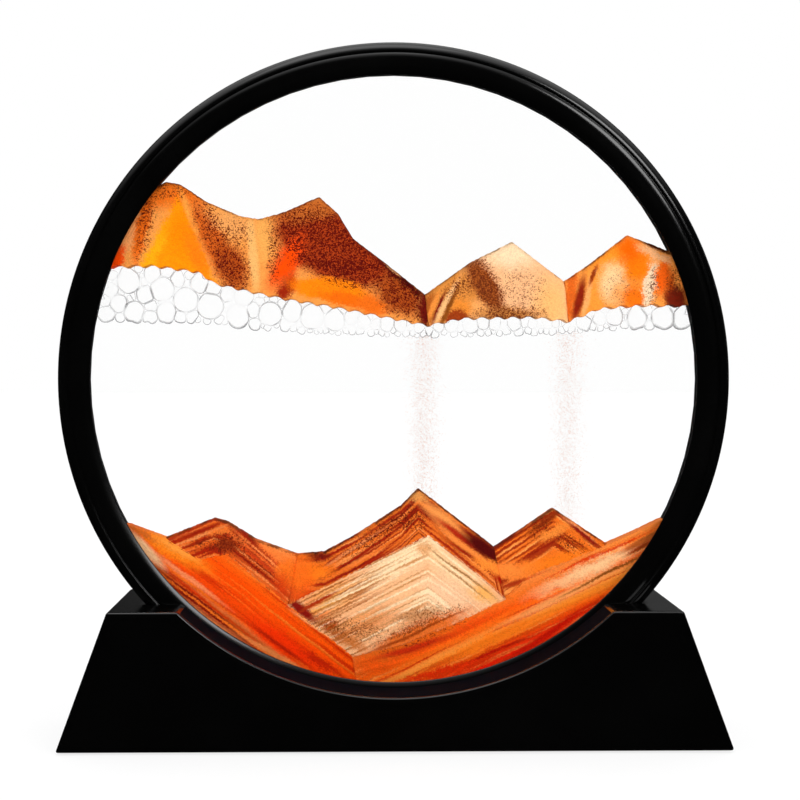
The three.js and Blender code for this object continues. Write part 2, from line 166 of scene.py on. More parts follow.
def begin_finish(name):
    """A bare material, and the place on the object as a wire to build on."""
    material = bpy.data.materials.new(name)
    material.use_nodes = True
    material.node_tree.nodes.clear()
    return material, Wire(material.node_tree).node("TexCoord", out="Object")


def end_finish(material, shader):
    shader.node("OutputMaterial", None, {"Surface": shader})
    print("finish", material.name, "has", len(material.node_tree.nodes), "nodes")
    return material


# %% [markdown]
# The camera stands nearly half a metre in front, 10 mm left of the middle and just above it. Its
# place and its lens come from the stand's perspective: how far the back edge is drawn in against the
# front edge gives the distance, and the ring's width then gives the lens. The camera turns only one
# degree towards the middle and a small shift of the lens does the rest, because the stand's long
# edges look level, as they do only from straight in front.

# %% Camera
EYE = Vector((-10, -437.2, 99)) * MM
AIM = Vector((-2.7, 0, 90.2)) * MM
LENS = 73.3
LENS_SHIFT = 0.02
SENSOR = 36
NEAREST = 0.01

camera = bpy.data.objects.new("camera", bpy.data.cameras.new("camera"))
camera.data.lens = LENS
camera.data.sensor_width = SENSOR
camera.data.shift_x = LENS_SHIFT
camera.location = EYE
camera.rotation_mode = "QUATERNION"
camera.rotation_quaternion = (AIM - EYE).to_track_quat("-Z", "Y")
camera.data.clip_start = NEAREST
scene.collection.objects.link(camera)
scene.camera = camera
print("camera", round((AIM - EYE).length, 3), "m from the ring")

# %% [markdown]
# A white studio. The camera, and anything seen through glass, looks at plain white. The gloss of the
# black plastic sees a dim room that brightens overhead and at the back right, as it would between
# dark screens, so the black stays deep and only its edges and the top of the stand catch light. One
# even white world would be simpler, but it would turn the gloss grey. The floor is white too, and
# keeps a faint shadow.

# %% World
WORLD_LIGHT = 1.5
GLOSS_LOW = 0.01
GLOSS_HIGH = 1.6
GLOSS_BACK = 0.1
OVERHEAD = (0.45, 0.95)
BACK_RIGHT = (0.75, 1.15)
RIGHT_SHARE = 0.6
CLEAR_LAYERS = 48
scene.view_settings.view_transform = "Standard"
scene.cycles.transparent_max_bounces = CLEAR_LAYERS

world = bpy.data.worlds.new("white studio")
world.use_nodes = True
world.node_tree.nodes.clear()
sky = Wire(world.node_tree)
seen = sky.node("LightPath", out="Is Camera Ray")
through = seen.other("Is Transmission Ray")
gloss = seen.other("Is Glossy Ray")
toward = sky.node("TexCoord", out="Generated")
height = sky.node("SeparateXYZ", None, {0: toward}, out="Z")
overhead = height.fade(*OVERHEAD)
back_right = (height.other("Y") + RIGHT_SHARE * height.other("X")).fade(*BACK_RIGHT)
room = GLOSS_LOW + (GLOSS_HIGH - GLOSS_LOW) * overhead + GLOSS_BACK * back_right
dim = sky.node("Background", None, {"Strength": room})
soft = sky.node("Background", None, {"Strength": WORLD_LIGHT})
white = sky.node("Background", None, {"Color": WHITE, "Strength": 1.0})
lit = sky.node("MixShader", None, {0: gloss, 1: soft, 2: dim})
shown = sky.node("MixShader", None, {0: seen.math("MAXIMUM", seen, through), 1: lit, 2: white})
shown.node("OutputWorld", None, {"Surface": shown})
scene.world = world
print("world", world.name, "has", len(world.node_tree.nodes), "nodes")


# %% A mesh from points
def new_piece(name, points, faces):
    """A smooth mesh object from points in metres, with its faces turned outwards."""
    mesh = bpy.data.meshes.new(name)
    mesh.from_pydata([tuple(p) for p in points], [], faces)
    shape = bmesh.new()
    shape.from_mesh(mesh)
    bmesh.ops.recalc_face_normals(shape, faces=shape.faces)
    shape.to_mesh(mesh)
    shape.free()
    mesh.shade_smooth()
    piece = bpy.data.objects.new(name, mesh)
    scene.collection.objects.link(piece)
    return piece


# %% Floor
FLOOR_HALF = 6.0
FLOOR_GLOW = 0.775
FLOOR_SHADE = 0.2
PAPER = 0.8


def floor_finish():
    """Glowing white that takes a faint shadow for the camera, paper for soft light, dim for gloss."""
    material, place = begin_finish("white floor")
    direct = place.node("LightPath", out="Is Camera Ray")
    mirrored = direct.other("Is Glossy Ray")
    glow = place.node("Emission", None, {"Color": WHITE, "Strength": FLOOR_GLOW})
    shade = place.node("BsdfDiffuse", None, {"Color": grey(FLOOR_SHADE)})
    bright = place.node("AddShader", None, {0: glow, 1: shade})
    paper = place.node("BsdfDiffuse", None, {"Color": grey(PAPER)})
    dusk = place.node("Emission", None, {"Color": WHITE, "Strength": GLOSS_LOW})
    other = place.node("MixShader", None, {0: mirrored, 1: paper, 2: dusk})
    return end_finish(material, place.node("MixShader", None, {0: direct, 1: other, 2: bright}))


corners = [(-FLOOR_HALF, -FLOOR_HALF), (FLOOR_HALF, -FLOOR_HALF)]
corners += [(FLOOR_HALF, FLOOR_HALF), (-FLOOR_HALF, FLOOR_HALF)]
floor = new_piece("floor", [(x, y, 0) for x, y in corners], [(0, 1, 2, 3)])
floor.data.materials.append(floor_finish())

# %% [markdown]
# Two soft panels light the object. The one at the front right draws the thin highlights on the black,
# and the one overhead lights the crests of the sand. A panel is set by how bright its surface looks,
# because that is what gloss mirrors, and its power follows from that and its size.

# %% Lamps
def soft_panel(name, toward_it, distance, wide, high, radiance):
    """A flat lamp that faces the picture."""
    lamp = bpy.data.lights.new(name, "AREA")
    lamp.shape = "RECTANGLE"
    lamp.size = wide
    lamp.size_y = high
    lamp.energy = radiance * math.pi * wide * high
    panel = bpy.data.objects.new(name, lamp)
    out = Vector(toward_it).normalized()
    panel.location = MIDDLE + out * distance
    panel.rotation_mode = "QUATERNION"
    panel.rotation_quaternion = (-out).to_track_quat("-Z", "Y")
    scene.collection.objects.link(panel)
    print(name, "gives", round(lamp.energy, 2), "W")


FRONT_RIGHT = (0.47, -0.745, 0.46)
soft_panel("front right panel", FRONT_RIGHT, distance=1.3, wide=0.42, high=0.36, radiance=7.0)
OVER_FRONT = (-0.1, -0.35, 1.0)
soft_panel("overhead panel", OVER_FRONT, distance=1.2, wide=0.7, high=0.7, radiance=1.2)


# %% [markdown]
# The ring is glossy black plastic in two halves that meet in a fine line round the middle. Each half
# is one profile turned about the axis: rounded outer edge, a crease, the flat face and a shallow
# bevel down to the pane. A turned mesh keeps the circle true, where the construction has facets.

# %% Black plastic
PATCHES = 45.0
DUST = 900.0
BUMP_HIGH = 0.2 * MM


def lighter(tint, times):
    return (*(times * share for share in tint[:3]), 1)


def gloss_finish(name, tint, rough):
    """Moulded black plastic: a faint waviness, and gloss that dulls a little in patches."""
    material, place = begin_finish(name)
    patches = place.cloud(PATCHES, 4.0)
    wave = patches + 0.1 * place.cloud(DUST, 2.0)
    worn = patches.fade(0.35, 0.75)
    surface = {
        "Base Color": worn.mix(tint, lighter(tint, 1.5)),
        "Roughness": rough + 0.06 * worn,
        "Normal": place.node("Bump", None, {"Strength": 0.02, "Distance": BUMP_HIGH, "Height": wave}),
        "Specular IOR Level": 0.5,
    }
    return end_finish(material, place.node("BsdfPrincipled", None, surface))


def moulded_finish(name, tint, rough, grain, shine=0.5):
    """A matt moulding or rubber with an even grain, given as how many grains lie in a metre."""
    material, place = begin_finish(name)
    fine = place.cloud(grain, 3.0)
    broad = place.cloud(grain / 30, 2.0)
    surface = {
        "Base Color": broad.fade(0.3, 0.7).mix(tint, lighter(tint, 1.35)),
        "Roughness": rough + 0.1 * fine,
        "Normal": place.node("Bump", None, {"Strength": 0.25, "Distance": BUMP_HIGH, "Height": fine}),
        "Specular IOR Level": shine,
    }
    return end_finish(material, place.node("BsdfPrincipled", None, surface))


RING_BLACK = gloss_finish("ring black", colour("010101"), rough=0.14)
STAND_BLACK = gloss_finish("stand black", colour("010101"), rough=0.12)
SLOT_BLACK = moulded_finish("slot black", colour("06080e"), rough=0.85, grain=2000.0, shine=0.02)

# %% Turned profiles
RING_STEPS = 256
FACE_WEIGHT = 90
EASE_STEPS = 4
MOST_EASED = 0.4


def placed(x, y, z):
    """A point in mm from the picture's middle, as a place in metres."""
    return (x * MM, y * MM, (z + MIDDLE_Z) * MM)


def eased(profile, ease):
    """A closed profile whose corners are rounded off."""
    points = [Vector(p) for p in profile]
    rounded = []
    for i, corner in enumerate(points):
        back = points[i - 1] - corner
        ahead = points[(i + 1) % len(points)] - corner
        cut = min(ease, MOST_EASED * back.length, MOST_EASED * ahead.length)
        start = corner + back.normalized() * cut
        end = corner + ahead.normalized() * cut
        for k in range(EASE_STEPS + 1):
            t = k / EASE_STEPS
            rounded.append(start.lerp(corner, t).lerp(corner.lerp(end, t), t))
    return rounded


def turned(name, profile):
    """A closed profile of (radius, y) in mm, turned about the picture's axis."""
    n = len(profile)
    points, faces = [], []
    for i in range(RING_STEPS):
        a = 2 * math.pi * i / RING_STEPS
        points += [placed(r * math.sin(a), y, r * math.cos(a)) for r, y in profile]
        here, there = i * n, (i + 1) % RING_STEPS * n
        faces += [(here + k, here + (k + 1) % n, there + (k + 1) % n, there + k) for k in range(n)]
    piece = new_piece(name, points, faces)
    piece.modifiers.new("even shading", "WEIGHTED_NORMAL").weight = FACE_WEIGHT
    return piece


def settle(piece, body, slot, *nodes):
    """The piece moves with its body and stands for these nodes; the slot is not used."""
    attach(piece, body)
    if nodes:
        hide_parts(*nodes)
    print(piece.name, "rides on", body, "with", len(piece.data.vertices), "points")


# %% Ring
RING_R = (ring_high.x - ring_low.x) / 2 / MM
RING_HALF_T = -ring_low.y / MM
EDGE_ROUND = 2.7
FRONT_BAND = 8.7
REAR_BAND = 5.7
FRONT_BEVEL = 2.4
REAR_BEVEL = 0.6
WALL = 2.7
LIP_T = 1.3
LIP_EDGE = 0.5
SHOULDER_W = 2.0
CREASE_W = 0.25
CREASE_DEEP = 0.4
PARTING = 0.05
PARTING_EASE = 0.25
CORNER_EASE = 0.2
ROUND_STEPS = 10
SHOULDER_STEPS = 6
BEVEL_CURVE = 1.6


def ring_profile(band, bevel):
    """One half of the ring as (radius, y): outer edge, crease, face, bevel, lip and inner wall."""
    arc_r = RING_R - EDGE_ROUND
    arc_y = RING_HALF_T - EDGE_ROUND
    arc = [i / ROUND_STEPS * math.pi / 2 for i in range(ROUND_STEPS + 1)]
    inner = RING_R - band
    back = RING_HALF_T - LIP_T
    outside = [(RING_R - PARTING_EASE, PARTING), (RING_R, PARTING + PARTING_EASE)]
    outside += [(arc_r + EDGE_ROUND * math.cos(a), arc_y + EDGE_ROUND * math.sin(a)) for a in arc]
    shares = [i / SHOULDER_STEPS for i in range(SHOULDER_STEPS + 1)]
    wide = SHOULDER_W - CREASE_W
    shoulder = [(arc_r - CREASE_W - wide * t, RING_HALF_T - CREASE_DEEP * (1 - t) ** 2) for t in shares]
    fall = LIP_T - LIP_EDGE
    bevelled = [(inner + bevel * (1 - t), RING_HALF_T - fall * t**BEVEL_CURVE) for t in shares]
    inside = [(inner, back), (RING_R - WALL, back), (RING_R - WALL, PARTING)]
    return eased(outside + shoulder + bevelled + inside, CORNER_EASE)


front_ring = turned("front_ring", [(r, -y) for r, y in ring_profile(FRONT_BAND, FRONT_BEVEL)])
rear_ring = turned("rear_ring", ring_profile(REAR_BAND, REAR_BEVEL))
for ring, node in ((front_ring, "front_frame_half"), (rear_ring, "rear_frame_half")):
    ring.data.materials.append(RING_BLACK)
    settle(ring, "sand_frame", "frame_black", node)


# %% [markdown]
# The stand is a hollow moulding: a trapezoid with a round dip, and a slot as wide as the ring cut
# down the middle of the dip. Solids cut from one another give that shape most directly, and a bevel
# afterwards breaks every sharp outward edge, which is what makes the thin bright lines along the black.

# %% Solids for the stand
BROKEN_STEPS = 3
SHARP = math.radians(35)


def prism(name, outline, half_depth):
    """An outline of (x, z) points, made solid from front to back."""
    n = len(outline)
    points = [(x * MM, y * MM, z * MM) for y in (-half_depth, half_depth) for x, z in outline]
    faces = [tuple(range(n)), tuple(range(n, 2 * n))]
    faces += [(i, (i + 1) % n, n + (i + 1) % n, n + i) for i in range(n)]
    return new_piece(name, points, faces)


def drum(name, radius, half_depth):
    """A round solid about the picture's axis."""
    turns = [2 * math.pi * i / RING_STEPS for i in range(RING_STEPS)]
    outline = [(radius * math.cos(a), MIDDLE_Z + radius * math.sin(a)) for a in turns]
    return prism(name, outline, half_depth)


def cut(piece, *tools):
    """Takes the tools away from the piece, and removes them."""
    for tool in tools:
        step = piece.modifiers.new("cut", "BOOLEAN")
        step.operation = "DIFFERENCE"
        step.solver = "MANIFOLD"
        step.object = tool
    graph = bpy.context.evaluated_depsgraph_get()
    result = bpy.data.meshes.new_from_object(piece.evaluated_get(graph))
    piece.modifiers.clear()
    piece.data = result
    for tool in tools:
        bpy.data.objects.remove(tool)
    return piece


def soften(piece, width):
    """Breaks the outward edges; inward corners stay sharp."""
    shape = bmesh.new()
    shape.from_mesh(piece.data)
    weight = shape.edges.layers.float.new("bevel_weight_edge")
    for edge in shape.edges:
        if edge.is_convex and edge.calc_face_angle() > SHARP:
            edge[weight] = 1.0
    shape.to_mesh(piece.data)
    shape.free()
    step = piece.modifiers.new("broken edges", "BEVEL")
    step.width = width * MM
    step.segments = BROKEN_STEPS
    step.limit_method = "WEIGHT"
    step.harden_normals = True
    step.material = 0


# %% Outlines of the stand
shell_low, shell_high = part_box("stand_shell")
STAND_TOP = shell_high.z / MM
STAND_RIM = shell_low.z / MM
STAND_HALF = shell_high.x / MM
STAND_HALF_DEPTH = shell_high.y / MM
STAND_SPLAY = 13.2
STAND_WALL = 2.4
STAND_BEVEL = 0.8
CHEEK_R = 81.4
RING_PLAY = 0.3
SLOT_R = RING_R + RING_PLAY
SLOT_HALF = RING_HALF_T + RING_PLAY
DIP_STEPS = 96


def stand_half(z):
    """Half the stand's width at a height."""
    return STAND_HALF - STAND_SPLAY * (z - STAND_RIM) / (STAND_TOP - STAND_RIM)


def stand_outline():
    """The trapezoid with its dip, as (x, z) points."""
    reach = math.acos((MIDDLE_Z - STAND_TOP) / CHEEK_R)
    turns = [reach - 2 * reach * i / DIP_STEPS for i in range(DIP_STEPS + 1)]
    dip = [(CHEEK_R * math.sin(a), MIDDLE_Z - CHEEK_R * math.cos(a)) for a in turns]
    top = stand_half(STAND_TOP)
    return [(-STAND_HALF, STAND_RIM), (STAND_HALF, STAND_RIM), (top, STAND_TOP), *dip, (-top, STAND_TOP)]


def stand_hollow():
    """The room inside the stand, less the walls of the dip and the slot."""
    below = STAND_RIM - STAND_WALL
    ceiling = STAND_TOP - STAND_WALL
    low = stand_half(below) - STAND_WALL
    high = stand_half(ceiling) - STAND_WALL
    outline = [(-low, below), (low, below), (high, ceiling), (-high, ceiling)]
    room = prism("room", outline, STAND_HALF_DEPTH - STAND_WALL)
    dip = drum("dip wall", CHEEK_R + STAND_WALL, 2 * STAND_HALF_DEPTH)
    slot = drum("slot wall", SLOT_R + STAND_WALL, SLOT_HALF + STAND_WALL)
    return cut(room, dip, slot)


print("the stand's top is", round(2 * stand_half(STAND_TOP), 1), "mm long")

# %% Stand
FACES_AXIS = 0.95
ON_WALL = 0.1 * MM

stand = prism("stand", stand_outline(), STAND_HALF_DEPTH)
cut(stand, stand_hollow(), drum("slot", SLOT_R, SLOT_HALF))
soften(stand, STAND_BEVEL)
stand.data.shade_smooth()
stand.data.materials.clear()
stand.data.materials.append(STAND_BLACK)
stand.data.materials.append(SLOT_BLACK)
for face in stand.data.polygons:
    inwards = (MIDDLE - face.center) * Vector((1, 0, 1))
    in_dip = face.normal.dot(inwards.normalized()) > FACES_AXIS
    in_slot = abs(abs(face.center.y) - SLOT_HALF * MM) < ON_WALL
    face.material_index = int(in_dip or in_slot)
print(sum(face.material_index for face in stand.data.polygons), "faces of the dip and the slot are dull")
settle(stand, "stand", "stand_black", "stand_shell")


# %% [markdown]
# Underneath, a screwed plate closes the stand and four rubber feet carry it, and inside the ring lie
# gaskets, tape, a spacer and a stopper. Their shapes in the construction are right as they are, so
# they only need finishes.

# %% Underside and seals
BRUSHED = (4000.0, 400.0, 400.0)


def steel_finish():
    """Bare steel with fine lines across it."""
    material, place = begin_finish("screw steel")
    drawn_out = place.node("Mapping", None, {"Vector": place, "Scale": BRUSHED})
    brushed = drawn_out.cloud(1.0, 2.0)
    base = brushed.mix(colour("a9abb0"), colour("d5d6d8"))
    surface = {"Base Color": base, "Roughness": 0.25 + 0.2 * brushed, "Metallic": 1.0}
    return end_finish(material, place.node("BsdfPrincipled", None, surface))


def dress(finish, *nodes):
    """Gives pieces of the construction a finish."""
    for node in nodes:
        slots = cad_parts[node].data.materials
        slots.clear()
        slots.append(finish)


corner_numbers = (1, 2, 3, 4)
dress(moulded_finish("cover black", colour("141415"), rough=0.45, grain=2500.0), "bottom_cover")
dress(steel_finish(), *(f"cover_screw_{i}" for i in corner_numbers))
RUBBER = moulded_finish("black rubber", colour("1c1c1d"), rough=0.75, grain=3500.0)
dress(RUBBER, *(f"rubber_foot_{i}" for i in corner_numbers), "front_gasket", "rear_gasket", "fill_plug")
dress(moulded_finish("sealing tape", colour("2a2a2c"), rough=0.5, grain=1500.0), "edge_seal_tape")
dress(moulded_finish("black silicone", colour("161618"), rough=0.5, grain=1800.0), "spacer_ring")


# %% [markdown]
# The panes and the liquid are almost invisible from the front. Full glass would bend the light four
# times and cost many samples for nothing that shows, so each is clear with a thin reflection that
# grows towards the edges, which is what a flat pane does.

# %% Glass and liquid
SMEARS = 30.0


def facing_panes(place):
    """1 where a surface lies flat to the panes, and 0 where it stands across them."""
    return abs(place.node("SeparateXYZ", None, {0: place.node("TexCoord", out="Normal")}, out="Y"))


def clear_finish(name, tint, ior, smear):
    """A clear surface: light passes straight on, apart from the share that it mirrors."""
    material, place = begin_finish(name)
    film = place.cloud(SMEARS, 3.0)
    mirrored = place.node("Fresnel", None, {"IOR": ior})
    glossy = place.node("BsdfGlossy", None, {"Color": WHITE, "Roughness": 0.02 + smear * film})
    passed = place.node("BsdfTransparent", None, {"Color": tint})
    share = mirrored * (0.85 + 0.3 * film) * facing_panes(place).fade(0.3, 0.8)
    return end_finish(material, place.node("MixShader", None, {0: share, 1: passed, 2: glossy}))


GLASS = clear_finish("clear glass", (0.9995, 1.0, 0.9997, 1), ior=1.08, smear=0.05)
dress(GLASS, "front_glass", "rear_glass")
dress(clear_finish("clear liquid", WHITE, ior=1.03, smear=0.02), "upper_liquid", "lower_liquid")


# %% [markdown]
# A piece of sand or bubbles in the construction is a flat slab between two lines, its crest and its
# foot. Reading those two lines back at any x gives a fine mesh the same shape to grow on.

# %% Crest and foot of a slab
FRONT_SLACK = 0.05
UPRIGHT = 1e-5


class Slab:
    """The crest and foot lines of one slab, in mm from the picture's middle."""

    def __init__(self, node):
        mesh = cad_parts[node].data
        points = np.array([v.co for v in mesh.vertices]) / MM - (0, 0, MIDDLE_Z)
        front = points[:, 1] < points[:, 1].min() + FRONT_SLACK
        pairs = np.array([e.vertices for e in mesh.edges])
        pairs = pairs[front[pairs].all(axis=1)]
        ends = points[pairs][:, :, [0, 2]]
        order = ends[:, :, 0].argsort(axis=1)[:, :, None]
        ends = np.take_along_axis(ends, order, axis=1)
        self.ends = ends[ends[:, 1, 0] - ends[:, 0, 0] > UPRIGHT]
        self.left = self.ends[:, :, 0].min()
        self.right = self.ends[:, :, 0].max()
        self.half_t = -points[:, 1].min()

    def heights(self, x):
        """Foot and crest at one x."""
        a, b = self.ends[:, 0], self.ends[:, 1]
        on = (a[:, 0] <= x) & (b[:, 0] >= x)
        share = (x - a[on, 0]) / (b[on, 0] - a[on, 0])
        z = a[on, 1] + share * (b[on, 1] - a[on, 1])
        return z.min(), z.max()


raft = Slab("bubble_raft")
print("raft from", round(raft.left, 1), "to", round(raft.right, 1), "mm,", raft.half_t, "mm to each side")


# %% [markdown]
# The upper sand rests on a raft of trapped air. Bubbles that press together share flat walls, as in
# foam, so each one is a pillow between the panes whose outline stops at the walls to its neighbours.
# Plain spheres would either overlap or leave gaps. A fringe of small ones hangs along the foot, large
# ones go in next and small ones fill what is left, all from a seeded draw.

# %% Bubble places
BUBBLE_SIZES = (3.2, 2.6, 2.1, 1.7, 1.35, 1.1, 0.85, 0.65)
SIZE_PLAY = (0.88, 1.12)
FRINGE_SIZES = (0.5, 1.0)
FRINGE_SPAN = (-30.0, 60.0)
FRINGE_STEP = (1.7, 4.0)
FRINGE_HANG = 0.9
FEELERS = (-0.85, -0.4, 0, 0.4, 0.85)
TRIES = 600
TOUCH = 0.84
EDGE_PLAY = 0.3
END_ROOM = 0.9
EDGE_ROOM = 0.8
draw = np.random.default_rng(7)


def fits(x, z, r):
    """Whether a round bubble stays within the raft, felt at a few places along its width."""
    for side in FEELERS:
        at = x + side * r
        if at < raft.left or at > raft.right:
            return False
        foot, crest = raft.heights(at)
        reach = r * math.sqrt(1 - side**2)
        if z - reach < foot - EDGE_PLAY or z + reach > crest + EDGE_PLAY:
            return False
    return True


def drop(x, z, size):
    """Adds the bubble if it has room."""
    clear = all(math.hypot(x - bx, z - bz) > TOUCH * (size + br) for bx, bz, br in bubbles)
    if clear and fits(x, z, size):
        bubbles.append((x, z, size))


bubbles = []
along = FRINGE_SPAN[0]
while along < FRINGE_SPAN[1]:
    size = draw.uniform(*FRINGE_SIZES)
    along += size * draw.uniform(*FRINGE_STEP)
    drop(along, raft.heights(along)[0] + FRINGE_HANG * size, size)
for r in BUBBLE_SIZES:
    for _ in range(TRIES):
        x = draw.uniform(raft.left + r * END_ROOM, raft.right - r * END_ROOM)
        foot, crest = raft.heights(x)
        if crest - foot > 2 * EDGE_ROOM * r:
            drop(x, draw.uniform(foot + EDGE_ROOM * r, crest - EDGE_ROOM * r), r * draw.uniform(*SIZE_PLAY))
print(len(bubbles), "bubbles")

# %% Bubble shells
AROUND = 36
SWELL = 1.42
SHELL_RINGS = 9
WALL_HALF = 0.04
GRAZING = 0.05
LEAST_REACH = 0.3
PANE_GAP = 0.05
PILLOW = 0.55


def bubble_edge(index):
    """How far the bubble reaches in each direction, up to its walls and to the edges of the raft."""
    x, z, r = bubbles[index]
    turns = np.arange(AROUND) * 2 * math.pi / AROUND
    reach = np.full(AROUND, r * SWELL)
    for k, (bx, bz, br) in enumerate(bubbles):
        gap = math.hypot(bx - x, bz - z)
        if k == index or gap > 2 * (r + br):
            continue
        wall = (gap**2 + r**2 - br**2) / (2 * gap) - WALL_HALF
        facing = np.cos(turns - math.atan2(bz - z, bx - x))
        limit = np.where(facing > GRAZING, wall / np.maximum(facing, GRAZING), np.inf)
        reach = np.minimum(reach, limit)
    for k, turn in enumerate(turns):
        at = min(max(x + reach[k] * math.cos(turn), raft.left), raft.right)
        foot, crest = raft.heights(at)
        up = math.sin(turn)
        room = crest + EDGE_PLAY - z if up > 0 else z - foot + EDGE_PLAY
        reach[k] = min(reach[k], max(room, LEAST_REACH * r) / max(abs(up), GRAZING))
    return turns, (np.roll(reach, 1) + 2 * reach + np.roll(reach, -1)) / 4


def bubble_shell(index):
    """A pillow with that outline, somewhere between the panes."""
    x, z, r = bubbles[index]
    turns, reach = bubble_edge(index)
    half_t = min(r, raft.half_t - PANE_GAP)
    shift = draw.uniform(-1, 1) * (raft.half_t - PANE_GAP - half_t)
    points = []
    for k in range(1, SHELL_RINGS):
        lift = math.pi * k / SHELL_RINGS
        y = shift - half_t * math.cos(lift)
        for a, out in zip(turns, reach * math.sin(lift) ** PILLOW):
            points.append((x + out * math.cos(a), y, z + out * math.sin(a)))
    points += [(x, shift - half_t, z), (x, shift + half_t, z)]
    last = (SHELL_RINGS - 2) * AROUND
    faces = []
    for k in range(AROUND):
        n = (k + 1) % AROUND
        faces += [(i + k, i + n, i + AROUND + n, i + AROUND + k) for i in range(0, last, AROUND)]
        faces += [(k, n, len(points) - 2), (last + k, last + n, len(points) - 1)]
    return points, faces


def joined(name, shells):
    """One piece from many closed shells, given in mm from the picture's middle."""
    points, faces = [], []
    for shell_points, shell_faces in shells:
        start = len(points)
        points += [placed(*point) for point in shell_points]
        faces += [tuple(start + i for i in face) for face in shell_faces]
    return new_piece(name, points, faces)


def keep(piece, label, values):
    """Keeps one number for each point of a mesh, for its finish to read."""
    piece.data.attributes.new(label, "FLOAT", "POINT").data.foreach_set("value", values)


def raft_heights(piece):
    """How high each point of the raft lies over its foot, in mm."""
    heights = []
    for point in piece.data.vertices:
        x, _, z = point.co / MM
        heights.append(z - MIDDLE_Z - raft.heights(min(max(x, raft.left), raft.right))[0])
    return heights


bubble_raft = joined("bubbles", [bubble_shell(i) for i in range(len(bubbles))])
keep(bubble_raft, "above_foot", raft_heights(bubble_raft))
print("raft of", len(bubble_raft.data.polygons), "faces")


# %% Bubble film
FILM_PATCHES = 150.0


def bubble_finish():
    """Clear in the middle and grey at the rim, where a bubble turns the light away, most so at the foot."""
    material, place = begin_finish("bubble film")
    hang = place.node("Attribute", {"attribute_name": "above_foot"}, out="Fac").fade(1.6, 0.3)
    rim = (facing_panes(place) - 0.3 * hang).fade(0.5, 0.1)
    patch = place.cloud(FILM_PATCHES, 2.0).fade(0.42, 0.62)
    shown_rim = patch.math("MAXIMUM", patch, hang * (0.5 + 0.5 * patch))
    surface = {
        "Base Color": rim.mix(colour("fdfdfd"), colour("8c8e92")),
        "Roughness": 0.08 + 0.1 * patch,
        "Alpha": 0.03 + 0.62 * (rim * (0.05 + 0.95 * shown_rim)),
        "Specular IOR Level": 0.1,
    }
    return end_finish(material, place.node("BsdfPrincipled", None, surface))


bubble_raft.data.materials.append(bubble_finish())
settle(bubble_raft, "sand_frame", "air_bubbles", "bubble_raft")


# %% [markdown]
# Sand lies between the panes as a slab with a rounded, grainy crest. Columns of points run from the
# foot to the crest, over it and down the back, so the mesh follows every slope. The layers stand a
# little in and out, except at the edges, where heaps meet flush. Each point also keeps how deep it
# lies under the crest, and the finish draws the layers from that.

# %% Sand meshes
COLUMN = 0.42
LEAST_STEPS = 8
CREST_ROUND = 1.3
CREST_LIFT = 0.1
ACROSS = 4
GRAIN_ROUGH = 0.05
LAYER_DEEP = 0.09
LAYER_UNEVEN = 1.6
DRIFT_RATE = (0.05, 0.12)
RIPPLE_RATE = (0.02, 1.1)
RIPPLE_SEED = 9.5
EDGE_EASE = 1.2
CLOSE_UP = 0.18
HAIR = 0.01
FLAT_TO_PANE = 0.35
grit = np.random.default_rng(21)


def sand_columns(slab):
    """Places along x, and the foot and crest there, let out a little to meet the neighbours."""
    count = max(LEAST_STEPS, round((slab.right - slab.left) / COLUMN))
    xs = np.linspace(slab.left - CLOSE_UP, slab.right + CLOSE_UP, count)
    around = xs + np.array([[-CLOSE_UP], [0], [CLOSE_UP]])
    near = np.clip(around, slab.left + HAIR, slab.right - HAIR)
    lines = np.array([[slab.heights(x) for x in row] for row in near])
    foot = lines[:, :, 0].min(axis=0) - CLOSE_UP
    crest = lines[:, :, 1].max(axis=0) + CLOSE_UP + grit.normal(0, GRAIN_ROUGH, count)
    rows = max(LEAST_STEPS, round((crest - foot).max() / COLUMN))
    return xs, foot, crest, rows


def layer_relief(x, below, seed):
    """How far the layers stand back from the pane, in mm."""
    drift = noise.noise((x * DRIFT_RATE[0], seed, below * DRIFT_RATE[1]))
    ripple = noise.noise((x * RIPPLE_RATE[0], seed + RIPPLE_SEED, below * RIPPLE_RATE[1] + drift))
    return LAYER_DEEP * (1 + LAYER_UNEVEN * ripple)


def sand_mesh(name, node, seed, crest_tuck):
    """A slab of sand; crest_tuck is how far its crest draws back from the panes, in mm."""
    slab = Slab(node)
    xs, foot, crest, rows = sand_columns(slab)
    through = [1 - 2 * (k + 1) / (ACROSS + 1) for k in range(ACROSS)]
    points, below = [], []
    for x, low, high in zip(xs, foot, crest):
        rise = [low + (high - low) * j / rows for j in range(rows + 1)]
        side = min(x - xs[0], xs[-1] - x)
        face = []
        for z in rise:
            tuck = crest_tuck * max(0.0, 1 - (high - z) / CREST_ROUND) ** 2
            inside = min(side, z - low, EDGE_EASE if crest_tuck else high - z)
            relief = layer_relief(x, high - z, seed) * min(1.0, inside / EDGE_EASE)
            face.append(slab.half_t - tuck - relief - abs(grit.normal(0, GRAIN_ROUGH)))
        loop = [(-y, z) for y, z in zip(face, rise)]
        loop += [(-face[-1] * share, high + CREST_LIFT) for share in through]
        loop += [(y, z) for y, z in zip(reversed(face), reversed(rise))]
        loop += [(face[0] * share, low) for share in through]
        points += [placed(x, y, z) for y, z in loop]
        below += [max(0.0, high - z) for _, z in loop]
    n = 2 * (rows + 1) + 2 * ACROSS
    faces = [tuple(range(n)), tuple(range(len(points) - n, len(points)))]
    for i in range(len(xs) - 1):
        a, b = i * n, (i + 1) * n
        faces += [(a + k, a + (k + 1) % n, b + (k + 1) % n, b + k) for k in range(n)]
    piece = new_piece(name, points, faces)
    for face in piece.data.polygons:
        face.use_smooth = abs(face.normal.y) > FLAT_TO_PANE
    keep(piece, "below_crest", below)
    return piece


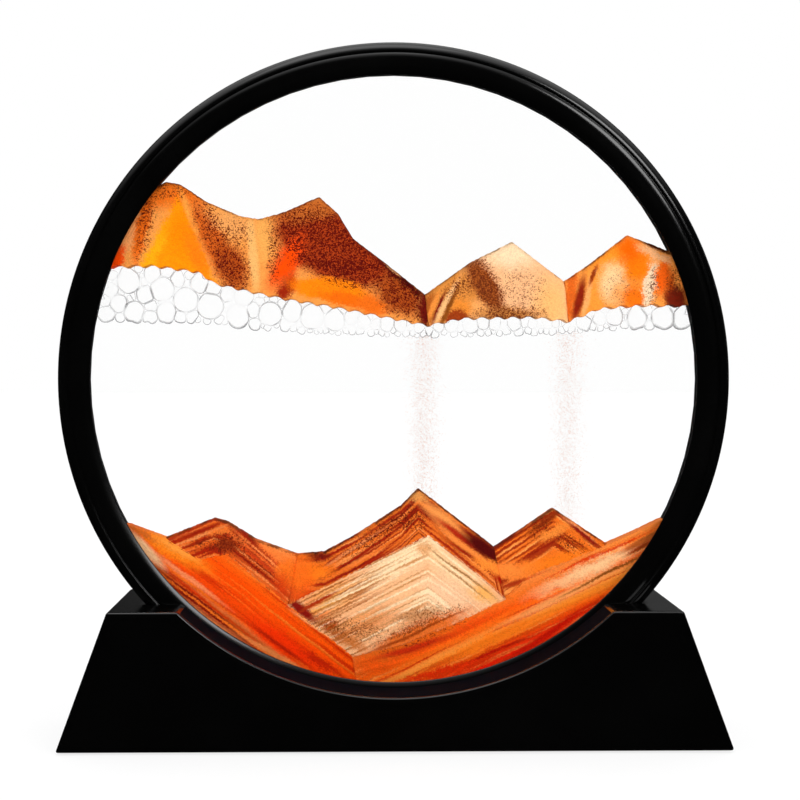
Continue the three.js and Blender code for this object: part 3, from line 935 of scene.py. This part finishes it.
# %% [markdown]
# Coloured sand is a mixture of grains, so its finish works grain by grain. Soft dabs of colour are
# laid over a ground colour where the real heaps show them, streaks follow the layers, and dark grains
# are peppered in: each grain draws a number, and turns dark where the pepper is stronger. One image
# for the whole picture would be quicker to make, but it would blur close up, where grains stay sharp.

# %% Sand finish
ORANGE = "ff7408"
EMBER = "ff4c00"
BRICK = "b01a04"
WINE = "78100a"
SOOT = "3a0503"
BROWN = "8a4812"
GRAIN = 0.26
WAVER = 1.4
WAVER_SCALE = 0.35
SCATTER = 1.2
SWAY = 1.6
SWAY_SCALE = 0.06
SPRINKLE = 0.4
CLUMP_SCALE = 700.0
BREAK_SCALE = 0.3 / MM
HUMP_HIGH = 0.15 * MM
NO_DEPTH = 1e4


class SandPaint:
    """A sand finish laid on stroke by stroke; places and reaches are in mm, leans in degrees."""

    def __init__(self, name, ground, dark):
        self.material, self.place = begin_finish(name)
        wire = self.place
        flat = {"Vector": wire, "Location": (0, 0, -MIDDLE_Z), "Scale": (1 / MM, 0, 1 / MM)}
        straight = wire.node("Mapping", None, flat)
        self.grain = wire.node("TexVoronoi", None, {"Vector": wire, "Scale": 1 / (GRAIN * MM)}, out="Color")
        self.lot = wire.node("SeparateColor", None, {0: self.grain}, out="Red")
        drift = straight.cloud(WAVER_SCALE, 3.0, out="Color")
        sway = straight.cloud(SWAY_SCALE, 1.0, out="Color")
        bent = self.moved(straight, drift, 2 * WAVER)
        self.loose = self.moved(bent, self.grain, SCATTER)
        self.laid = self.moved(self.moved(straight, sway, SWAY), self.grain, SPRINKLE)
        self.x = wire.node("SeparateXYZ", None, {0: straight}, out="X")
        depth = wire.node("Attribute", {"attribute_name": "below_crest"}, out="Fac")
        self.below = SPRINKLE * (self.lot - 0.5) + depth
        self.shade = colour(ground)
        self.dark = colour(dark)
        self.amount = None

    def moved(self, place, by, far):
        """The place, moved by a colour whose middle grey means not at all."""
        pushed = self.place.vector("MULTIPLY_ADD", by, (far,) * 3, place)
        return self.place.vector("SUBTRACT", pushed, (far / 2,) * 3)

    def across(self, lean):
        """How far a point lies across lines that lean this way, in mm from the picture's middle."""
        turn = math.radians(lean)
        return self.place.vector("DOT_PRODUCT", self.laid, (-math.sin(turn), 0, math.cos(turn)), out="Value")

    def spot(self, place, at, reach, lean, soft):
        """1 inside a leaning oval round a point and 0 outside it."""
        oval = {"Vector": place, "Location": (at[0], 0, at[1]), "Scale": (reach[0], NO_DEPTH, reach[1])}
        oval["Rotation"] = (0, -math.radians(lean), 0)
        turned_place = self.place.node("Mapping", {"vector_type": "TEXTURE"}, oval)
        return self.place.vector("LENGTH", turned_place, out="Value").fade(1 + soft, 1 - soft)

    def wedge(self, tip, left, right, soft):
        """1 under a tip, between two slopes given as leans from the vertical, and 0 outside them."""
        mask = None
        for lean, side in ((left, 1), (right, -1)):
            across = (side * math.cos(math.radians(lean)), 0, -math.sin(math.radians(lean)))
            start = across[0] * tip[0] + across[2] * tip[1]
            edge = self.place.vector("DOT_PRODUCT", self.loose, across, out="Value")
            inside = edge.fade(start - soft / 2, start + soft / 2)
            mask = inside if mask is None else mask * inside
        return mask

    def lay(self, mask, tint):
        self.shade = mask.mix(self.shade, colour(tint))

    def dab(self, tint, at, reach, lean=0, soft=0.4):
        """A patch of colour with loose grains round it."""
        self.lay(self.spot(self.loose, at, reach, lean, soft), tint)

    def stroke(self, tint, at, reach, lean=0, soft=0.5):
        """A patch with a cleaner edge, for thin lines."""
        self.lay(self.spot(self.laid, at, reach, lean, soft), tint)

    def pepper(self, amount, at, reach, lean=0, soft=0.6):
        """Dark grains; where two lots overlap, the stronger one counts."""
        more = amount * self.spot(self.loose, at, reach, lean, soft)
        self.amount = more if self.amount is None else more.math("MAXIMUM", self.amount, more)

    def layers(self, across, stops, mask=None):
        """Layers of colour: each stop is a place along a wire that counts in mm, and the colour there."""
        low, high = stops[0][0], stops[-1][0]
        share = (across - low) / (high - low)
        bands = share.ramp(*(((place - low) / (high - low), colour(tint)) for place, tint in stops))
        self.shade = bands if mask is None else mask.mix(self.shade, bands)

    def streaks(self, tint, depth, seed, share, fine, run, mask=1.0):
        """Lines of another colour that follow the layers; depth is the wire that counts layers."""
        along = self.place.node("CombineXYZ", None, {0: self.x / run, 1: seed, 2: depth * fine})
        self.lay(along.cloud(1.0, 1.5).fade(0.94 - share, 1.08 - share) * mask, tint)

    def rim(self, tint, wide, strong):
        """A broken line of another colour along the crest."""
        breaks = self.place.cloud(BREAK_SCALE, 2.0)
        self.lay(self.below.fade(wide, wide * 0.35) * (strong * breaks.fade(0.35, 0.6)), tint)

    def done(self):
        """Turns the peppered grains dark, varies all of them a little and ends the finish."""
        hump = self.grain.other("Distance")
        if self.amount is not None:
            clump = self.place.cloud(CLUMP_SCALE, 1.0)
            turn = (self.amount * (0.5 + clump) - self.lot).fade(-0.2, 0.2)
            self.shade = (turn * self.amount.fade(0.0, 0.12)).mix(self.shade, self.dark)
        bright = 0.86 + 0.28 * self.lot.other("Green")
        lit_grain = self.place.node("CombineXYZ", None, {i: bright for i in range(3)})
        rough_grains = {"Strength": 0.3, "Distance": HUMP_HIGH, "Height": hump}
        surface = {
            "Base Color": self.place.vector("MULTIPLY", self.shade, lit_grain),
            "Roughness": 0.75 + 0.2 * self.lot,
            "Normal": self.place.node("Bump", {"invert": True}, rough_grains),
            "Specular IOR Level": 0.06,
        }
        return end_finish(self.material, self.place.node("BsdfPrincipled", None, surface))


# %% [markdown]
# The three upper heaps are the sand that still rests on the bubbles. It has slid rather than settled,
# so its colours lie in soft patches with dark grains among them. Each line below is one patch: its
# tint, its place from the picture's middle, how far it reaches along and across, how far it leans
# and how soft its edge is. Patches laid later cover earlier ones.

# %% Upper left heap
def upper_left_finish():
    sand = SandPaint("upper left sand", "f39a48", "5c0c05")
    # The left hump, with a bright wedge under its top.
    sand.dab("f0741c", (-60.5, 50), (12, 4.5))
    sand.dab("fba25e", (-69.5, 42), (9.5, 2.2), 73)
    sand.dab(EMBER, (-74, 31.5), (4, 2.0), 65)
    sand.dab("ee6c16", (-66.8, 41), (10.5, 1.7), 78)
    sand.lay(sand.wedge((-57.4, 48.6), 28, 23, 1.2), "ff9204")
    sand.dab("ffa80e", (-63.2, 35), (9, 1.6), 62, 0.7)
    sand.dab("ff8600", (-56.5, 39), (4, 6), 0, 0.8)
    sand.dab("fb7c0c", (-52.6, 33), (6, 1.8), -68, 0.8)
    sand.stroke("fca444", (-53.2, 42.4), (8, 1.0), -66)
    # The saddle: rusty scree, and a pale line down its right side.
    sand.dab("d2601a", (-48, 36.5), (12, 3.2), -64, 0.5)
    sand.dab("eca058", (-42.6, 41), (6, 3), -25, 0.6)
    sand.dab("b04a14", (-43, 30), (6.5, 3.6), -68, 0.5)
    sand.stroke("f4b468", (-37.6, 33), (9.5, 1.3), 93)
    sand.dab("f2a652", (-34.4, 38), (2.4, 6), 0, 0.5)
    # The dark right hump: an ember at its left, a bright bank along its foot.
    sand.dab("a83a12", (-15, 36), (18, 10), -24, 0.2)
    sand.dab("a83a12", (-24, 38), (5.5, 8), 0, 0.3)
    sand.dab("c46626", (-20, 45.4), (10, 3), 12, 0.6)
    sand.dab("ee4a10", (-28.6, 31), (7.4, 3.0), 58, 0.6)
    sand.dab(EMBER, (-28.4, 30.8), (5.4, 1.8), 58, 0.6)
    sand.dab("c8420c", (-27.4, 26), (1.8, 2.6), 0, 0.6)
    sand.dab("9a2408", (-29.4, 23.4), (1.9, 2.4))
    sand.dab("fd8408", (-17, 23.8), (10.4, 3.2), -7, 0.25)
    sand.dab("f46a08", (-11, 20.8), (9, 1.8), -12, 0.5)
    sand.dab("ee6c14", (-6, 19.6), (4, 2.6), -20, 0.6)
    sand.dab("ac4a16", (1.5, 22.4), (7, 4.4), -36, 0.4)
    sand.dab(SOOT, (2.5, 26.4), (9, 1.0), -40, 0.5)
    sand.stroke("e2a268", (-0.2, 29.1), (2.6, 0.25), -40)
    sand.dab("6c1208", (8.4, 18.2), (4.8, 1.6), 88)
    # Dark grains, and a broken dark line along the crest.
    sand.pepper(0.38, (-66.4, 42), (10, 1.8), 78)
    sand.pepper(0.28, (-60, 50.5), (6, 2.6))
    sand.pepper(0.42, (-47.6, 37.5), (11, 3.4), -64)
    sand.pepper(0.5, (-43.5, 29.5), (5.5, 4.2), -64)
    sand.pepper(0.3, (-42.6, 38), (4, 4))
    sand.pepper(0.4, (-32.4, 33), (1.6, 7))
    sand.pepper(0.58, (-15.5, 35.0), (18, 8.6), -24, 0.3)
    sand.pepper(0.45, (-25, 38.6), (5, 7.4), 0, 0.3)
    sand.pepper(0.75, (-14, 30), (12, 2.4), -6, 0.5)
    sand.pepper(0.5, (2, 22), (8, 4.6), -34)
    sand.rim("5a2008", 0.5, 0.8)
    return sand.done()


# %% Upper middle heap
def upper_middle_finish():
    sand = SandPaint("upper middle sand", "f6b884", "6a2a10")
    # Pale at the top and at the right.
    sand.dab("fcd8ae", (31, 33.6), (6.5, 3.6), 0, 0.8)
    sand.dab("fdb971", (42, 19.6), (4.4, 7), 0, 0.7)
    # Brown at the left, where thin lines run down to the gap.
    sand.dab("dc8a3c", (13.5, 22.5), (11, 9), 0, 0.35)
    sand.dab("a0501c", (24.4, 24.8), (9, 3.4), -62, 0.4)
    sand.dab("f0a45c", (22.6, 18.6), (3.4, 2.0), -24, 0.5)
    sand.dab("e8882e", (17.6, 19.4), (3, 1.9), 0, 0.7)
    sand.dab("9a3a10", (16.6, 16.6), (3.4, 1.8))
    sand.dab("b05a1e", (9.0, 18.6), (4.8, 1.8), 75)
    sand.stroke("ee8e3a", (10.6, 19.6), (4, 0.7), 68)
    sand.stroke(WINE, (11.9, 18.9), (5, 0.5), 69)
    sand.stroke("f6b878", (13.7, 20.2), (6.8, 0.8), 63)
    sand.stroke(BROWN, (14.4, 18.8), (6, 0.6), 66)
    # The foot, dark grains, and a broken dark line along the crest.
    sand.dab("c07a38", (30.5, 17.2), (8, 1.9), 0, 0.6)
    sand.pepper(0.5, (30, 17.4), (8, 2.2))
    sand.pepper(0.18, (33, 23), (7, 6))
    sand.pepper(0.6, (24.4, 24.8), (8.5, 3.2), -62, 0.4)
    sand.pepper(0.4, (18, 25), (6, 2.4), 30)
    sand.rim("6a4420", 0.45, 0.7)
    return sand.done()


# %% Upper right heap
def upper_right_finish():
    sand = SandPaint("upper right sand", "fb9a42", "64200c")
    # The left side, streaked along its fall.
    sand.dab("fb9226", (57.4, 32.6), (6, 2.4), 35)
    sand.dab("e0641c", (47.2, 22), (7, 1.7), 84)
    sand.dab("fb9636", (53.6, 23), (9, 3.0), 74)
    sand.stroke("fba860", (51.4, 21.5), (6, 0.8), 77)
    sand.stroke("8a2008", (49.3, 21.0), (6.6, 1.2), 77)
    sand.stroke("98380c", (53.4, 28), (2.8, 0.6), 66)
    # The body: pale in the middle and orange round it.
    sand.dab("fdcb92", (58.4, 25.6), (3.4, 5.0), 0, 0.5)
    sand.dab("fba45c", (60.6, 22.6), (2.6, 3), 0, 0.6)
    sand.dab("fb7a08", (64.8, 30.4), (3.4, 4.4), 0, 0.5)
    sand.dab("fb6400", (62.6, 34.6), (3.0, 3.4), 0, 0.7)
    sand.dab("fb7410", (64.4, 21.6), (3.2, 3.4), 0, 0.5)
    # The right end, against the ring.
    sand.dab("f2d2ac", (68.4, 25), (6, 1.6), 80, 0.3)
    sand.dab("f2600e", (71.8, 27), (5, 1.8), 82)
    sand.dab("cc520c", (73.8, 25), (4, 1.2), 80, 0.7)
    sand.dab("7c1e0a", (75.6, 21.4), (3.0, 3.4))
    sand.dab("f4b078", (69.6, 33.4), (4.6, 1.1), -27)
    sand.stroke("5a2008", (70.2, 35.2), (4.6, 0.6), -25)
    # Dark grains, and a broken dark line along the crest.
    sand.pepper(0.25, (68.6, 24), (6, 1.5), 80)
    sand.pepper(0.1, (60, 24), (6, 6))
    sand.pepper(0.3, (74.4, 24), (2.4, 5))
    sand.rim("66290c", 0.45, 0.8)
    return sand.done()


# %% [markdown]
# The fallen sand has settled in layers, and each slope shows them as streaks. On the hills and the
# pale peak they follow the crest, so the streaks count how deep a point lies under it. On the two
# near dunes, which lean against the ring, they run straight down towards the middle, so the streaks
# count across that lean. Strokes and dabs then set what is particular to each place.

# %% Lower left dune
def left_dune_finish():
    sand = SandPaint("left dune sand", ORANGE, "7a1a06")
    # Layers, from the ring up to the crest.
    across = sand.across(-38)
    by_wall = [(-81, "f08a4c"), (-79.8, "b83c14"), (-78.8, "da5e20"), (-78, "cc4e14"), (-77.2, "f27838")]
    slope = [(-76.3, "f85a14"), (-75.2, "fa4a06"), (-72, "fc4a02"), (-68, "ff5000")]
    crest = [(-66, "f85c08"), (-64, "f0641a")]
    sand.layers(across, by_wall + slope + crest)
    sand.streaks("ff7a20", across, 3.0, 0.4, 0.7, 40.0)
    sand.streaks("dc3200", across, 8.0, 0.42, 0.9, 40.0)
    # Lighter towards the crest.
    sand.dab("ff8416", (-60, -44.6), (11, 2.6), -30, 0.6)
    sand.dab("ff9a3a", (-58, -45.0), (6, 1.2), -28, 0.7)
    sand.dab("dc6a24", (-68, -40.6), (5, 0.9), -27)
    sand.stroke("ff8f58", (-55, -53), (11, 0.6), -38, 0.6)
    # Dark lines by the ring, and the red foot.
    low_wall = sand.spot(sand.laid, (-50.5, -61.4), (17, 1.5), -41, 0.5)
    sand.streaks("8a1a0a", across, 14.0, 0.46, 1.8, 45.0, low_wall)
    sand.stroke("ffc692", (-66.2, -45.2), (6.5, 1.2), -46)
    sand.dab("ff3400", (-29, -71), (11, 2.6), -35, 0.6)
    sand.stroke("c02002", (-31, -71), (9, 0.5), -36, 0.7)
    sand.dab("d42602", (-20, -75.6), (5, 1.0), -30, 0.6)
    sand.stroke("f48c48", (-32, -73.8), (11, 0.7), -30)
    sand.stroke("ffa660", (-20, -66.8), (8, 0.5), -34)
    return sand.done()


# %% Lower left hill
def left_hill_finish():
    sand = SandPaint("left hill sand", "e4601a", "6a1c08")
    # Streaks that follow the crest.
    sand.streaks("f4924a", sand.below, 2.0, 0.45, 0.8, 18.0)
    sand.streaks("ac2408", sand.below, 6.0, 0.5, 1.0, 18.0)
    # The right side falls straight to the saddle.
    across = sand.across(-40)
    right_side = sand.x.fade(-46.5, -43.5)
    low = [(-64.5, "e8641c"), (-62.6, "b83a12"), (-61.4, "e25e1c"), (-60.4, "c43612"), (-59.6, "e86626")]
    high = [(-58.6, "c03214"), (-57.4, "de501a"), (-56.2, "f2803a"), (-55, "fb8c44")]
    sand.layers(across, low + high, right_side)
    sand.streaks("921c08", across, 11.0, 0.44, 1.2, 30.0, right_side)
    sand.streaks("f98c46", across, 17.0, 0.42, 1.0, 30.0, right_side)
    # The saddle, and thin lines under the crest at the left.
    sand.dab("f67c34", (-30.2, -48), (6, 1.4), -34, 0.6)
    sand.dab("fb7a20", (-28.6, -51.4), (2.8, 2.2), 0, 0.7)
    sand.dab("d03a0c", (-29.4, -55), (2.6, 3.2), 0, 0.7)
    sand.dab("f66c18", (-25.6, -51.5), (3.6, 4.6), 0, 0.8)
    sand.stroke("982008", (-51, -40.2), (6.5, 0.6), 23)
    sand.stroke("e88a4a", (-50.8, -41.4), (6.5, 0.4), 23)
    sand.stroke("9c2a0c", (-50, -42.6), (6, 0.4), 23)
    # The top, with dark grains under it.
    sand.dab("e8742a", (-46.6, -40.6), (3.4, 0.9), 12, 0.6)
    sand.dab("dc6428", (-41.2, -42.8), (2.6, 1.0), -40, 0.6)
    sand.dab("8a2c0c", (-44.4, -44.0), (3.0, 1.8), -10, 0.6)
    sand.pepper(0.5, (-44.6, -44), (4, 2.6))
    sand.pepper(0.3, (-49, -44), (6, 2))
    sand.pepper(0.2, (-38.4, -48.6), (9, 1.3), -42)
    sand.rim("6a300e", 0.6, 0.9)
    return sand.done()


# %% Lower middle hill
def middle_hill_finish():
    sand = SandPaint("middle hill sand", "e06a20", "601606")
    # Streaks that follow the crest.
    sand.streaks("f4944a", sand.below, 4.0, 0.43, 0.8, 18.0)
    sand.streaks("9c2008", sand.below, 9.0, 0.5, 1.0, 18.0)
    sand.streaks("74120a", sand.below, 13.0, 0.38, 1.6, 24.0)
    # The top, and lines down the sides.
    sand.dab("dc9048", (6, -31.2), (3, 1.6), 0, 0.6)
    sand.stroke("e48448", (-11, -45.2), (9, 0.4), 33)
    sand.stroke("f29448", (12.8, -37.2), (6.6, 1.7), -38, 0.6)
    sand.stroke("ae280e", (17.2, -41.6), (7.4, 0.9), -36, 0.6)
    sand.stroke("500605", (24, -45.0), (6.4, 1.9), -38, 0.5)
    sand.stroke("f08638", (19, -44.6), (9, 0.7), -38, 0.6)
    # The saddle at the left.
    sand.dab("fd8a3c", (-27, -49.4), (3, 1.4), -20, 0.6)
    sand.dab("6e1408", (-20.4, -47.5), (3.8, 0.9), 4, 0.6)
    sand.dab("fd7a18", (-22.4, -52), (6, 2.0), 10, 0.5)
    sand.dab("fb5c0a", (-26, -53.6), (4, 2.6), -20, 0.7)
    sand.dab("d8440f", (-25.4, -57), (3.6, 2.0), 0, 0.7)
    sand.dab("f66c18", (-25.6, -51.5), (3.6, 4.6), 0, 0.8)
    # The foot at the right, then dark grains.
    sand.dab("fb8a30", (27, -50.8), (6.4, 1.7), -22)
    sand.stroke(BRICK, (30.4, -54.6), (4, 1.1), -28)
    sand.pepper(0.4, (3.8, -37.4), (4.2, 2.8))
    sand.pepper(0.28, (-5, -41.6), (10, 2.2), 34)
    sand.rim("4a1e08", 0.6, 0.85)
    return sand.done()


# %% Lower right hill
def right_hill_finish():
    sand = SandPaint("right hill sand", "ec701e", "5c1c06")
    # Streaks that follow the crest.
    sand.streaks("f99c4c", sand.below, 5.0, 0.43, 0.8, 18.0)
    sand.streaks("a02a08", sand.below, 3.0, 0.48, 1.0, 18.0)
    # The left side and its foot.
    sand.stroke("8c2c08", (40.6, -37.9), (6, 0.9), 36, 0.6)
    sand.dab("ee8632", (42.6, -41), (5, 1.2), 25, 0.7)
    sand.stroke("921c08", (39, -45.6), (7, 0.7), 31, 0.6)
    sand.stroke("a8340e", (37.8, -47.2), (6, 0.7), 31, 0.6)
    sand.dab("fb7a18", (43, -49), (10, 1.9), 14, 0.6)
    sand.dab("fb8028", (35, -51.4), (4, 2), 20, 0.7)
    sand.dab("f98634", (30.2, -51.2), (4.6, 2.2), -10, 0.5)
    sand.stroke("a83410", (32.4, -54.8), (3.4, 0.7), 24, 0.6)
    # The right side, then dark grains.
    sand.stroke("fb9a5c", (49.4, -40.2), (5, 0.5), -36)
    sand.stroke("8a1a0c", (51, -41.9), (6, 0.6), -36)
    sand.pepper(0.3, (46.6, -44), (4.4, 2.2), -10)
    sand.pepper(0.25, (38, -40), (4, 2), 34)
    sand.rim("561c08", 0.65, 0.85)
    return sand.done()


# %% Lower pale peak
def pale_peak_finish():
    sand = SandPaint("pale peak sand", "fabc88", "7a3c12")
    # Pale flanks, browner towards the left foot.
    sand.dab("fedeb0", (0, -49.8), (12, 2.4), 31, 0.6)
    sand.dab("fdd29e", (16, -51.6), (10, 2.4), -40, 0.6)
    sand.dab("fbc69a", (14, -57), (8, 4), -30, 0.8)
    sand.dab("f0a258", (-17, -58.6), (9, 3.6), 25, 0.8)
    sand.dab("e8965a", (-9, -66.4), (9, 3.4), 24, 0.7)
    sand.dab("f08a48", (-20.6, -62.4), (4.6, 2.6), -38, 0.8)
    sand.dab("b24412", (-16.4, -66.8), (5, 1.6), -38, 0.6)
    sand.dab("fdb25c", (24, -57.6), (4, 1.6), -30, 0.8)
    sand.stroke("ffb85e", (-15, -58.6), (9, 0.9), 29, 0.6)
    # Streaks that follow the crest, stronger at the left.
    sand.streaks("fee0b4", sand.below, 1.0, 0.42, 0.8, 22.0)
    left_flank = sand.x.fade(11.0, 5.0)
    sand.streaks("cc8c54", sand.below, 5.0, 0.43, 1.3, 22.0, 0.25 + 0.75 * left_flank)
    left_part = sand.x.fade(4.0, -12.0)
    sand.streaks("a85a22", sand.below, 9.0, 0.45, 1.5, 22.0, left_part)
    # The tip, the left foot, and thin lines down the right flank.
    sand.dab("e0a068", (8, -45.4), (1.6, 1.2), 0, 0.7)
    sand.dab("f4a262", (-10, -64.6), (5, 0.9), 26, 0.6)
    sand.dab("cc7436", (-11.4, -70.4), (4, 1.2), -32, 0.7)
    sand.stroke("8a160c", (-24.6, -61.8), (4.6, 1.3), -40)
    sand.stroke("a8300e", (-20.4, -59.6), (6, 0.45), 29)
    sand.dab("c88a58", (6, -63.4), (6, 1.6), 12, 0.8)
    sand.stroke("a8703c", (18.3, -52.0), (11, 0.26), -37.5, 0.6)
    sand.stroke("b47c4a", (18.5, -54.2), (8, 0.22), -40, 0.6)
    sand.pepper(0.25, (-12, -66.8), (10, 2.6), -10)
    # The brown band along the right dune.
    by_dune = sand.spot(sand.loose, (6.8, -67.9), (13.5, 2.5), 23, 0.45)
    sand.lay(by_dune, "e46e28")
    sand.streaks("a4400f", sand.across(24), 23.0, 0.5, 1.2, 40.0, by_dune)
    sand.pepper(0.2, (6, -63), (7, 2), 14)
    sand.pepper(0.3, (6, -66), (12, 1.4), 23)
    return sand.done()


# %% Lower right dune
def right_dune_finish():
    sand = SandPaint("right dune sand", ORANGE, "7a1a06")
    # Layers, from the ring up to the crest. The low ones by the ring are the sand's own reds, painted
    # brighter to make up for the shade that the ring's lip casts on them.
    across = sand.across(25)
    low = [(-82, "ff1806"), (-79.6, "fb2206"), (-77.6, "f43c08"), (-76.2, "fc5c0a"), (-74.2, "ff8822")]
    high = [(-72.6, "ff963a"), (-71, "ff7016"), (-69, "fb5c0a"), (-66.4, "f67422"), (-63, "f08a40")]
    sand.layers(across, low + high)
    sand.streaks("ff9a44", across, 2.0, 0.4, 0.8, 40.0)
    sand.streaks("d83a06", across, 7.0, 0.42, 1.0, 40.0)
    # The pale crest, and thin lines under it.
    sand.dab("fdb076", (51.6, -51.4), (14.6, 2.0), 24, 0.5)
    sand.dab("fdc48c", (54, -50), (9, 1.1), 24, 0.7)
    sand.stroke("ffa058", (46, -57.6), (16, 1.0), 26, 0.6)
    sand.stroke("8a4a14", (57, -51.9), (12, 0.35), 27, 0.6)
    sand.stroke("b85a22", (67, -43), (6, 0.8), 28, 0.5)
    sand.stroke("9a3c12", (66, -45), (4, 0.5), 28, 0.5)
    # Red lines by the ring, and the left end.
    sand.stroke("d41802", (40, -69), (16, 0.8), 33, 0.6)
    sand.stroke("b81402", (24, -74), (14, 0.4), 22, 0.6)
    sand.dab("ff7c18", (27, -69.4), (14, 1.6), 24, 0.6)
    sand.dab("e83204", (14, -78), (14, 1.2), 14, 0.5)
    sand.dab("f6560c", (-6, -76), (6, 3), 0, 0.7)
    sand.dab("ee4a08", (14, -68.6), (14, 1.5), 24, 0.6)
    sand.dab("ea6616", (5, -69.4), (14, 3.0), 22, 0.5)
    sand.stroke("c42c08", (5, -72.0), (10, 0.9), 17, 0.6)
    sand.pepper(0.25, (7, -68.2), (11, 2.2), 22)
    return sand.done()


# %% Heaps and dunes
FREE_CREST = 1.0
BURIED_CREST = 0.0
SAND = {
    "upper_sand_left_heap": (upper_left_finish, "rust_sand", FREE_CREST),
    "upper_sand_middle_heap": (upper_middle_finish, "cream_sand", FREE_CREST),
    "upper_sand_right_heap": (upper_right_finish, "orange_sand", FREE_CREST),
    "lower_sand_left_hill": (left_hill_finish, "rust_sand", FREE_CREST),
    "lower_sand_middle_hill": (middle_hill_finish, "rust_sand", FREE_CREST),
    "lower_sand_right_hill": (right_hill_finish, "orange_sand", FREE_CREST),
    "lower_sand_pale_peak": (pale_peak_finish, "cream_sand", BURIED_CREST),
    "lower_sand_left_dune": (left_dune_finish, "orange_sand", BURIED_CREST),
    "lower_sand_right_dune": (right_dune_finish, "orange_sand", BURIED_CREST),
}
for seed, (node, (finish, slot, tuck)) in enumerate(SAND.items()):
    heap = sand_mesh(node.replace("_sand", ""), node, seed, tuck)
    heap.data.materials.append(finish())
    settle(heap, "sand_frame", slot, node)

# %% [markdown]
# Sand still runs down through the two gaps between the upper heaps, so thinly that it is only a veil.
# Every falling grain is a small crushed octahedron, drawn at random between the foot of the raft and
# the crest of the hill below. A see-through sheet would be lighter, but it would show its edge as
# soon as the picture turns.

# %% Falling sand
FALLS = {"lower_sand_middle_hill": 8.1, "lower_sand_right_hill": 46.7}
FALL_SPREAD = 2.3
FALL_GRAINS = 5000
FALL_SIZE = (0.05, 0.08)
FALL_CRUSH = (0.7, 1.3)
FALL_DEEP = 0.9
FALL_LOTS = 2000.0
TIPS = np.array([(1, 0, 0), (0, 1, 0), (-1, 0, 0), (0, -1, 0), (0, 0, 1), (0, 0, -1)])


def falling_grain(x, y, z):
    """An octahedron round a point, each of its tips drawn in or out."""
    reach = draw.uniform(*FALL_SIZE) * draw.uniform(*FALL_CRUSH, len(TIPS))
    points = [tuple(p) for p in (x, y, z) + reach[:, None] * TIPS]
    faces = [(k, (k + 1) % 4, tip) for k in range(4) for tip in (4, 5)]
    return points, faces


def falling_sand():
    """Two veils of grains, each over the hill that it falls on."""
    grains = []
    for hill, middle in FALLS.items():
        slab = Slab(hill)
        for x in draw.normal(middle, FALL_SPREAD, FALL_GRAINS):
            y = draw.uniform(-FALL_DEEP, FALL_DEEP) * slab.half_t
            z = draw.uniform(slab.heights(x)[1], raft.heights(x)[0])
            grains.append(falling_grain(x, y, z))
    return joined("falling_sand", grains)


def falling_finish():
    """Pale grains, no two quite alike."""
    material, place = begin_finish("falling sand")
    pick = place.node("TexVoronoi", None, {"Vector": place, "Scale": FALL_LOTS}, out="Color")
    lot = place.node("SeparateColor", None, {0: pick}, out="Red")
    shade = lot.mix(colour("e09c7c"), colour("f2c0a4"))
    surface = {"Base Color": shade, "Roughness": 0.8 + 0.1 * lot, "Specular IOR Level": 0.06}
    return end_finish(material, place.node("BsdfPrincipled", None, surface))


veil = falling_sand()
veil.data.materials.append(falling_finish())
settle(veil, "sand_frame", "cream_sand")
